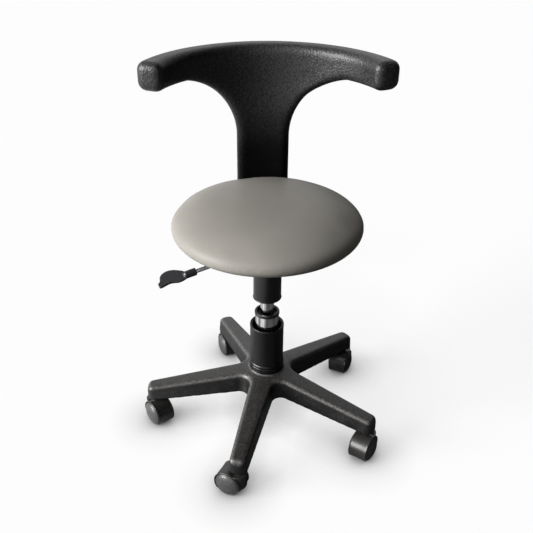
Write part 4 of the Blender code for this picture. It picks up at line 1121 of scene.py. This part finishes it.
def bolt_shape(length):
    """Hexagon flange bolt about Z: shank up from the origin, head below it."""
    flange = turned(
        [
            (0, length),
            (BOLT_RADIUS - BOLT_CHAMFER, length),
            (BOLT_RADIUS, length - BOLT_CHAMFER),
            (BOLT_RADIUS, 0),
            (BOLT_HEAD_RADIUS, 0),
            (BOLT_HEAD_RADIUS, -BOLT_FLANGE / 2),
            (BOLT_HEAD_RADIUS - 0.0008, -BOLT_FLANGE),
            (0, -BOLT_FLANGE),
        ],
        SMALL_SIDES,
    )
    hexagon = bmesh.new()
    across = BOLT_HEAD_RADIUS - BOLT_CHAMFER
    rim = bmesh.ops.create_circle(hexagon, cap_ends=True, segments=6, radius=across)
    bmesh.ops.translate(hexagon, verts=rim["verts"], vec=(0, 0, -BOLT_FLANGE / 2))
    grown = bmesh.ops.extrude_face_region(hexagon, geom=list(hexagon.faces))["geom"]
    ends = [item for item in grown if isinstance(item, bmesh.types.BMVert)]
    bmesh.ops.translate(hexagon, verts=ends, vec=(0, 0, BOLT_FLANGE / 2 - BOLT_HEAD))
    bmesh.ops.recalc_face_normals(hexagon, faces=hexagon.faces)
    round_edges(hexagon, 0.0004, 2)
    return joined(flange, hexagon)


def softened(node, width):
    """A node's solid with its flat faces made whole and its edges broken."""
    bm = copied(node)
    bmesh.ops.dissolve_limit(
        bm, angle_limit=math.radians(1), use_dissolve_boundaries=False, verts=bm.verts, edges=bm.edges
    )
    return round_edges(bm, width, 2, 40.0)


class STOOL_OT_seat_frame(bpy.types.Operator):
    """Makes the steel under the seat: plate, back strap, board and the bolts that hold them"""

    bl_idname = "stool.seat_frame"
    bl_label = "Seat frame"

    def execute(self, context):
        colours = context.scene.stool_colours
        edge = context.scene.stool_sizes.edge
        coat = powder_coat(colours)
        zinc = zinc_plate(colours)
        plate, strap = softened("seat_plate", edge), softened("back_strap", 2 * edge)
        piece("pressed_seat_plate", plate, coat, "seat_carrier", ["seat_plate"])
        piece("bent_back_strap", strap, coat, "seat_carrier", ["back_strap"])
        board = softened("seat_board", edge)
        piece("seat_plywood", board, birch_plywood(colours), "seat_carrier", ["seat_board"])
        for node in [f"seat_bolt_{i}" for i in (1, 2, 3, 4)] + ["strap_bolt_1", "strap_bolt_2"]:
            low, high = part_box(node)
            at = Vector(((low.x + high.x) / 2, (low.y + high.y) / 2, low.z + BOLT_HEAD))
            shape = placed(bolt_shape(high.z - at.z), Matrix.Translation(at))
            piece(f"hex_{node}", shape, zinc, "seat_carrier", [node])
        for node in ("back_bolt_1", "back_bolt_2"):
            low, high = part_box(node)
            at = Vector(((low.x + high.x) / 2, high.y - BOLT_HEAD, (low.z + high.z) / 2))
            shape = placed(bolt_shape(at.y - low.y), Matrix.Translation(at) @ spun("X", 90))
            piece(f"hex_{node}", shape, zinc, "seat_carrier", [node])
        dress(zinc, "lever_pin")
        return {"FINISHED"}


def lever_frame():
    """Placing of shapes drawn from the lever's pivot with X along it."""
    pivot = Vector(JOINTS["lever_lift"]["pos_m"])
    out = (pivot - COLUMN).xy.normalized().to_3d()
    turn = Matrix((out, UP.cross(out), UP)).transposed().to_4x4()
    return Matrix.Translation(pivot) @ turn


def smooth_loop(points, steps):
    """Closed Catmull-Rom curve through the points."""
    count = len(points)
    curve = []
    for i in range(count):
        before, start, end, after = (Vector(points[(i + k) % count]) for k in (-1, 0, 1, 2))
        for j in range(steps):
            t = j / steps
            bend = (2 * before - 5 * start + 4 * end - after) * t**2
            bend += (3 * start - before - 3 * end + after) * t**3
            curve.append((start * 2 + (end - before) * t + bend) / 2)
    return [(point.x, point.y) for point in curve]


def paddle_shape(drop, near):
    """Sleeve and leaf of the lever's paddle in the pivot's frame, moulded as one."""
    bore = LEVER_ROD_RADIUS + FIT
    far = near + SLEEVE_LENGTH
    end = far - SLEEVE_END
    outline = [
        (bore, near),
        (SLEEVE_RADIUS - SLEEVE_CHAMFER, near),
        (SLEEVE_RADIUS, near + SLEEVE_CHAMFER),
        (SLEEVE_RADIUS, far - SLEEVE_TAPER),
        (SLEEVE_RADIUS - SLEEVE_TAPER, far),
        (0, far),
        (0, end + FIT),
        (bore, end + FIT),
    ]
    sleeve = placed(turned(outline, SMALL_SIDES), drop @ spun("Y", 90))
    points = [(far - LEAF_OVERLAP + x, y) for x, y in smooth_loop(LEAF_POINTS, 10)]
    leaf = round_edges(prism(points, -LEAF_THICK / 2, LEAF_THICK / 2), LEAF_EDGE, 3, 50.0)
    near_edge = [(x, y) for x, y in points if y > 0 and x > far - LEAF_OVERLAP + LEAF_LIP_FROM]
    strip = near_edge + [(x, y - LEAF_LIP_WIDTH) for x, y in reversed(near_edge)]
    lip = prism(strip, 0, LEAF_THICK / 2 + LEAF_LIP_HEIGHT)
    leaf = placed(joined(leaf, lip), drop @ spun("X", -LEAF_TILT))
    return skinned(joined(sleeve, leaf), PADDLE_VOXEL, 4)


class STOOL_OT_lever(bpy.types.Operator):
    """Makes the height lever: plated rod and moulded paddle"""

    bl_idname = "stool.lever"
    bl_label = "Lever"

    def execute(self, context):
        colours = context.scene.stool_colours
        edge = context.scene.stool_sizes.edge
        place = lever_frame()
        drop = spun("Y", LEVER_DROP)
        start = LEVER_PIVOT_REACH / math.cos(math.radians(LEVER_DROP))
        radius = LEVER_ROD_RADIUS
        rod = cylinder(radius, LEVER_ROD_REACH - start, LEVER_ROD_INNER - start, SMALL_SIDES, edge)
        pivot_level = JOINTS["lever_lift"]["pos_m"][2]
        low = levels("valve_button")[1] + FIT - pivot_level
        tip = -LEVER_PIVOT_REACH - LEVER_TONGUE_PAST
        root = LEVER_ROD_INNER - LEVER_PIVOT_REACH + LEVER_TONGUE
        half = radius - FIT
        tongue = prism([(tip, -half), (root, -half), (root, half), (tip, half)], low, low + LEVER_TONGUE)
        whole = placed(joined(placed(rod, drop @ spun("Y", 90)), round_edges(tongue, edge, 2)), place)
        piece("plated_lever_rod", whole, zinc_plate(colours), "lever", ["lever_rod"])
        paddle = placed(paddle_shape(drop, SLEEVE_START - start), place)
        nylon = smooth_nylon("moulded_paddle_nylon", colours.paddle)
        piece("moulded_paddle", paddle, nylon, "lever", ["lever_paddle"], SMOOTH)
        return {"FINISHED"}


def cushion_outline(crown):
    """Half section of the cushion: crown, rolled edge and the flat underside round the board."""
    underside = levels("seat_cushion")[0]
    radius = SEAT_RADIUS + CUSHION_FULL
    rim = underside + CUSHION_RIM
    power = 2 / CUSHION_SQUARENESS
    outline = [(0, crown)]
    for i in range(1, CUSHION_STEPS + 1):
        angle = math.pi / 2 * i / CUSHION_STEPS
        rise = (crown - rim) * max(math.cos(angle), 0.0) ** power
        outline.append((radius * math.sin(angle) ** power, rim + rise))
    lip = BOARD_RADIUS + FIT + CUSHION_LIP
    lip_angle = math.asin((lip / radius) ** (1 / power))
    drop = CUSHION_RIM / math.cos(lip_angle) ** power
    for i in range(1, CUSHION_STEPS // 2 + 1):
        angle = math.pi / 2 + (lip_angle - math.pi / 2) * i / (CUSHION_STEPS // 2)
        outline.append((radius * math.sin(angle) ** power, rim - drop * math.cos(angle) ** power))
    return outline + [(BOARD_RADIUS + FIT, underside), (0, underside + CUSHION_HOLLOW)]


def cushion_cover(crown):
    """Vinyl cover of the cushion before the foam fills it."""
    bm = turned(cushion_outline(crown))
    rim = levels("seat_cushion")[0] + CUSHION_RIM
    hang = Vector(CUSHION_HANG)
    for vert in bm.verts:
        flat = vert.co.xy.to_3d()
        depth = smooth_share(rim + CUSHION_HANG_FROM - vert.co.z, 0, CUSHION_HANG_DEPTH)
        share = max(0.0, flat.normalized().dot(hang)) ** 2 * depth
        vert.co += flat * CUSHION_LEAN * share
    return skinned(about_column(bm), CUSHION_VOXEL, CUSHION_SOFT)


def filled(bm, stapled_below, most):
    """A cover pressed out by its foam and held below a level, with the swell evened so that it stays taut."""
    scene = bpy.context.scene
    work = held("cushion_cover", bm)
    rest = [vert.co.copy() for vert in work.data.vertices]
    stapled = work.vertex_groups.new(name="stapled")
    stapled.add([i for i, co in enumerate(rest) if co.z < stapled_below], 1.0, "REPLACE")
    cloth = work.modifiers.new("foam", "CLOTH")
    cloth.settings.use_pressure = True
    cloth.settings.uniform_pressure_force = FOAM_PRESSURE
    cloth.settings.effector_weights.gravity = 0.0
    cloth.settings.tension_stiffness = cloth.settings.compression_stiffness = VINYL_STRETCH
    cloth.settings.bending_stiffness = VINYL_BEND
    cloth.settings.vertex_group_mass = stapled.name
    cloth.point_cache.frame_start = 1
    cloth.point_cache.frame_end = FOAM_FRAMES
    for number in range(1, FOAM_FRAMES + 1):
        scene.frame_set(number)
    made = taken(work)
    scene.frame_set(1)
    made.verts.index_update()
    moves = []
    for vert, co in zip(made.verts, rest):
        move = vert.co - co
        moves.append(move * min(1.0, most / max(move.length, FIT)))
    for _ in range(SWELL_ROUNDS):
        evened = []
        for vert in made.verts:
            near = [moves[edge.other_vert(vert).index] for edge in vert.link_edges]
            evened.append(sum(near, moves[vert.index]) / (len(near) + 1))
        moves = evened
    for vert, co, move in zip(made.verts, rest, moves):
        vert.co = co + move
    return made


class STOOL_OT_cushion(bpy.types.Operator):
    """Makes the round cushion: vinyl drawn over foam that presses it out"""

    bl_idname = "stool.cushion"
    bl_label = "Cushion"

    def execute(self, context):
        sizes, colours = context.scene.stool_sizes, context.scene.stool_colours
        underside, top = levels("seat_cushion")
        cover = cushion_cover(top + CUSHION_FULL - CUSHION_RISE)
        stuffed = filled(cover, underside + STAPLES, sizes.cushion_swell)
        vinyl = satin_vinyl(colours, sizes)
        made = piece("vinyl_cushion", stuffed, vinyl, "seat_carrier", ["seat_cushion"], SMOOTH)
        finer = made.modifiers.new("finer", "SUBSURF")
        finer.levels = finer.render_levels = 1
        return {"FINISHED"}


def back_outline(foot, top):
    """Front view of the T: (distance along the curve, height)."""
    low = top - BACK_BAR_HEIGHT
    reach = BACK_FACE_RADIUS * math.radians(BACK_HALF_ANGLE)
    corner = BACK_STEM_CORNER
    end = BACK_END_ROUND
    fillet = low - BACK_FILLET * math.sin(math.radians(BACK_FILLET_TURN))
    right = arc((BACK_STEM_HALF - corner, foot + corner), corner, 270, 360, 10)
    right += arc((BACK_STEM_HALF + BACK_FILLET, fillet), BACK_FILLET, 180, 180 - BACK_FILLET_TURN, 36)
    right += arc((reach - end, low + end), end, 270, 360, 10)
    right += arc((reach - end, top - end), end, 0, 90, 10)
    return right + [(-x, z) for x, z in reversed(right)]


def bend_back(point, bar_low):
    """Takes a point of the flat T (along, depth, height) to its place on the curve."""
    angle = point.x / BACK_FACE_RADIUS
    end = (angle / math.radians(BACK_HALF_ANGLE)) ** 2
    swell = BACK_END_SWELL * end
    share = smooth_share(point.z, bar_low - BACK_BLEND, bar_low)
    thick = BACK_STEM_THICK + (BACK_BAR_THICK - BACK_STEM_THICK) * share + swell
    radius = BACK_FACE_RADIUS - swell + point.y / BACK_BAR_THICK * thick
    centre = SEAT_RADIUS + BACK_GAP - BACK_FACE_RADIUS
    along = radius * math.sin(angle) + BACK_STEM_SHIFT + (BACK_BAR_SHIFT - BACK_STEM_SHIFT) * share
    up = min(1.0, max(0.0, (point.z - bar_low) / BACK_BAR_HEIGHT))
    high, low = (middle + added * end for middle, added in (BACK_TOP_LIFTS, BACK_LOW_LIFTS))
    return Vector((along, centre + radius * math.cos(angle), point.z + high * up + low * (1 - up) * share))


class STOOL_OT_backrest(bpy.types.Operator):
    """Makes the T-shaped backrest of moulded integral-skin foam"""

    bl_idname = "stool.backrest"
    bl_label = "Backrest"

    def execute(self, context):
        sizes, colours = context.scene.stool_sizes, context.scene.stool_colours
        foot, top = levels("backrest")
        bar_low = top - BACK_BAR_HEIGHT
        bm = prism(back_outline(foot, top), 0, BACK_BAR_THICK)
        placed(bm, Matrix(((1, 0, 0, 0), (0, 0, 1, 0), (0, 1, 0, 0), (0, 0, 0, 1))))
        bmesh.ops.recalc_face_normals(bm, faces=bm.faces)
        round_edges(bm, BACK_EDGE_ROUND, 7, 60.0)
        reach = BACK_FACE_RADIUS * math.radians(BACK_HALF_ANGLE)
        cuts = [((reach * (2 * i / BACK_BENDS - 1), 0, 0), (1, 0, 0)) for i in range(1, BACK_BENDS)]
        drops = [BACK_BLEND * i / BACK_BLEND_STEPS for i in range(BACK_BLEND_STEPS + 1)]
        cuts += [((0, 0, bar_low - drop), UP) for drop in drops]
        for at, facing in cuts:
            everything = list(bm.verts) + list(bm.edges) + list(bm.faces)
            bmesh.ops.bisect_plane(bm, geom=everything, dist=MERGE, plane_co=at, plane_no=facing)
        for vert in bm.verts:
            vert.co = bend_back(vert.co, bar_low)
        bmesh.ops.remove_doubles(bm, verts=bm.verts, dist=1e-5)
        bmesh.ops.recalc_face_normals(bm, faces=bm.faces)
        shape = skinned(about_column(bm), BACK_VOXEL, BACK_SOFT)
        skin = integral_skin(colours, sizes)
        piece("skinned_backrest", shape, skin, "seat_carrier", ["backrest"], SMOOTH)
        return {"FINISHED"}


class STOOL_OT_stage(bpy.types.Operator):
    """Makes the studio: paper floor, soft light and the camera"""

    bl_idname = "stool.stage"
    bl_label = "Stage"

    def execute(self, context):
        scene = context.scene
        bm = bmesh.new()
        bmesh.ops.create_circle(bm, cap_ends=True, segments=FINE_SIDES, radius=FLOOR_RADIUS)
        mesh = bpy.data.meshes.new("paper_floor")
        bm.to_mesh(mesh)
        bm.free()
        mesh.materials.append(paper_sweep(scene.stool_colours))
        floor = bpy.data.objects.new("paper_floor", mesh)
        scene.collection.objects.link(floor)

        world = bpy.data.worlds.new("studio")
        scene.world = world
        world.use_nodes = True
        tree = world.node_tree
        tree.nodes.clear()
        facing = add(tree, "TexCoord", take="Generated")
        glows = []
        for side, *ends in GLOWS:
            toward = Vector(side).normalized()
            lean = add(tree, "VectorMath", (facing, toward), "Value", operation="DOT_PRODUCT")
            glows.append(add(tree, "MapRange", (lean, *ends)))
        lift, sweep, window = glows
        sweep = add(tree, "Math", (sweep, window), operation="MAXIMUM")
        seen = add(tree, "LightPath").node.outputs
        mirrored = (seen["Is Glossy Ray"], seen["Is Transmission Ray"])
        look = add(tree, "Math", mirrored, operation="MAXIMUM")
        shown = add(tree, "Mix", {"Factor": look, 2: lift, 3: sweep}, data_type="FLOAT")
        shown = add(tree, "Math", (shown, seen["Is Camera Ray"]), operation="MAXIMUM")
        back = add(tree, "Background", {"Color": (1.0, 1.0, 1.0, 1.0), "Strength": shown})
        add(tree, "OutputWorld", {"Surface": back})

        for name, strength, spread, toward in LAMPS:
            lamp = bpy.data.lights.new(name, "SUN")
            lamp.energy = strength
            lamp.angle = math.radians(spread)
            sun = bpy.data.objects.new(name, lamp)
            sun.rotation_euler = Vector(toward).to_track_quat("-Z", "Y").to_euler()
            scene.collection.objects.link(sun)

        yaw, pitch, roll = (math.radians(a) for a in (CAMERA_YAW, CAMERA_PITCH, CAMERA_ROLL))
        ahead = Vector((math.sin(yaw) * math.cos(pitch), math.cos(yaw) * math.cos(pitch), -math.sin(pitch)))
        right = ahead.cross(UP).normalized()
        above = right.cross(ahead)
        axes = Matrix(
            (
                right * math.cos(roll) + above * math.sin(roll),
                above * math.cos(roll) - right * math.sin(roll),
                -ahead,
            )
        ).transposed()
        view = bpy.data.cameras.new("camera")
        view.sensor_width = CAMERA_SENSOR
        view.lens = CAMERA_LENS
        camera = bpy.data.objects.new("camera", view)
        spot = Matrix.Translation((0, -CAMERA_BACK, CAMERA_HEIGHT))
        turn = spun("Z", OBJECT_TURN)
        camera.matrix_world = Matrix.Translation(COLUMN) @ turn @ spot @ axes.to_4x4()
        scene.collection.objects.link(camera)
        scene.camera = camera
        scene.view_settings.view_transform = "Standard"
        return {"FINISHED"}


class VIEW3D_PT_stool(bpy.types.Panel):
    """Lists the stool's sizes, colours and pieces"""

    bl_label = "Swivel stool"
    bl_space_type = "VIEW_3D"
    bl_region_type = "UI"
    bl_category = "Stool"

    def draw(self, context):
        for group in (context.scene.stool_sizes, context.scene.stool_colours):
            column = self.layout.column()
            for name in group.__annotations__:
                column.prop(group, name)
        column = self.layout.column()
        for operator in OPERATORS:
            column.operator(operator.bl_idname)


OPERATORS = (
    STOOL_OT_base,
    STOOL_OT_casters,
    STOOL_OT_gas_lift,
    STOOL_OT_seat_frame,
    STOOL_OT_lever,
    STOOL_OT_cushion,
    STOOL_OT_backrest,
    STOOL_OT_stage,
)
CLASSES = (StoolSizes, StoolColours, *OPERATORS, VIEW3D_PT_stool)


def register():
    for cls in CLASSES:
        bpy.utils.register_class(cls)
    bpy.types.Scene.stool_sizes = PointerProperty(type=StoolSizes)
    bpy.types.Scene.stool_colours = PointerProperty(type=StoolColours)


def unregister():
    del bpy.types.Scene.stool_sizes
    del bpy.types.Scene.stool_colours
    for cls in reversed(CLASSES):
        bpy.utils.unregister_class(cls)


def main():
    register()
    bpy.ops.stool.base()
    bpy.ops.stool.casters()
    bpy.ops.stool.gas_lift()
    bpy.ops.stool.seat_frame()
    bpy.ops.stool.lever()
    bpy.ops.stool.cushion()
    bpy.ops.stool.backrest()
    bpy.ops.stool.stage()


if __name__ == "__main__":
    main()
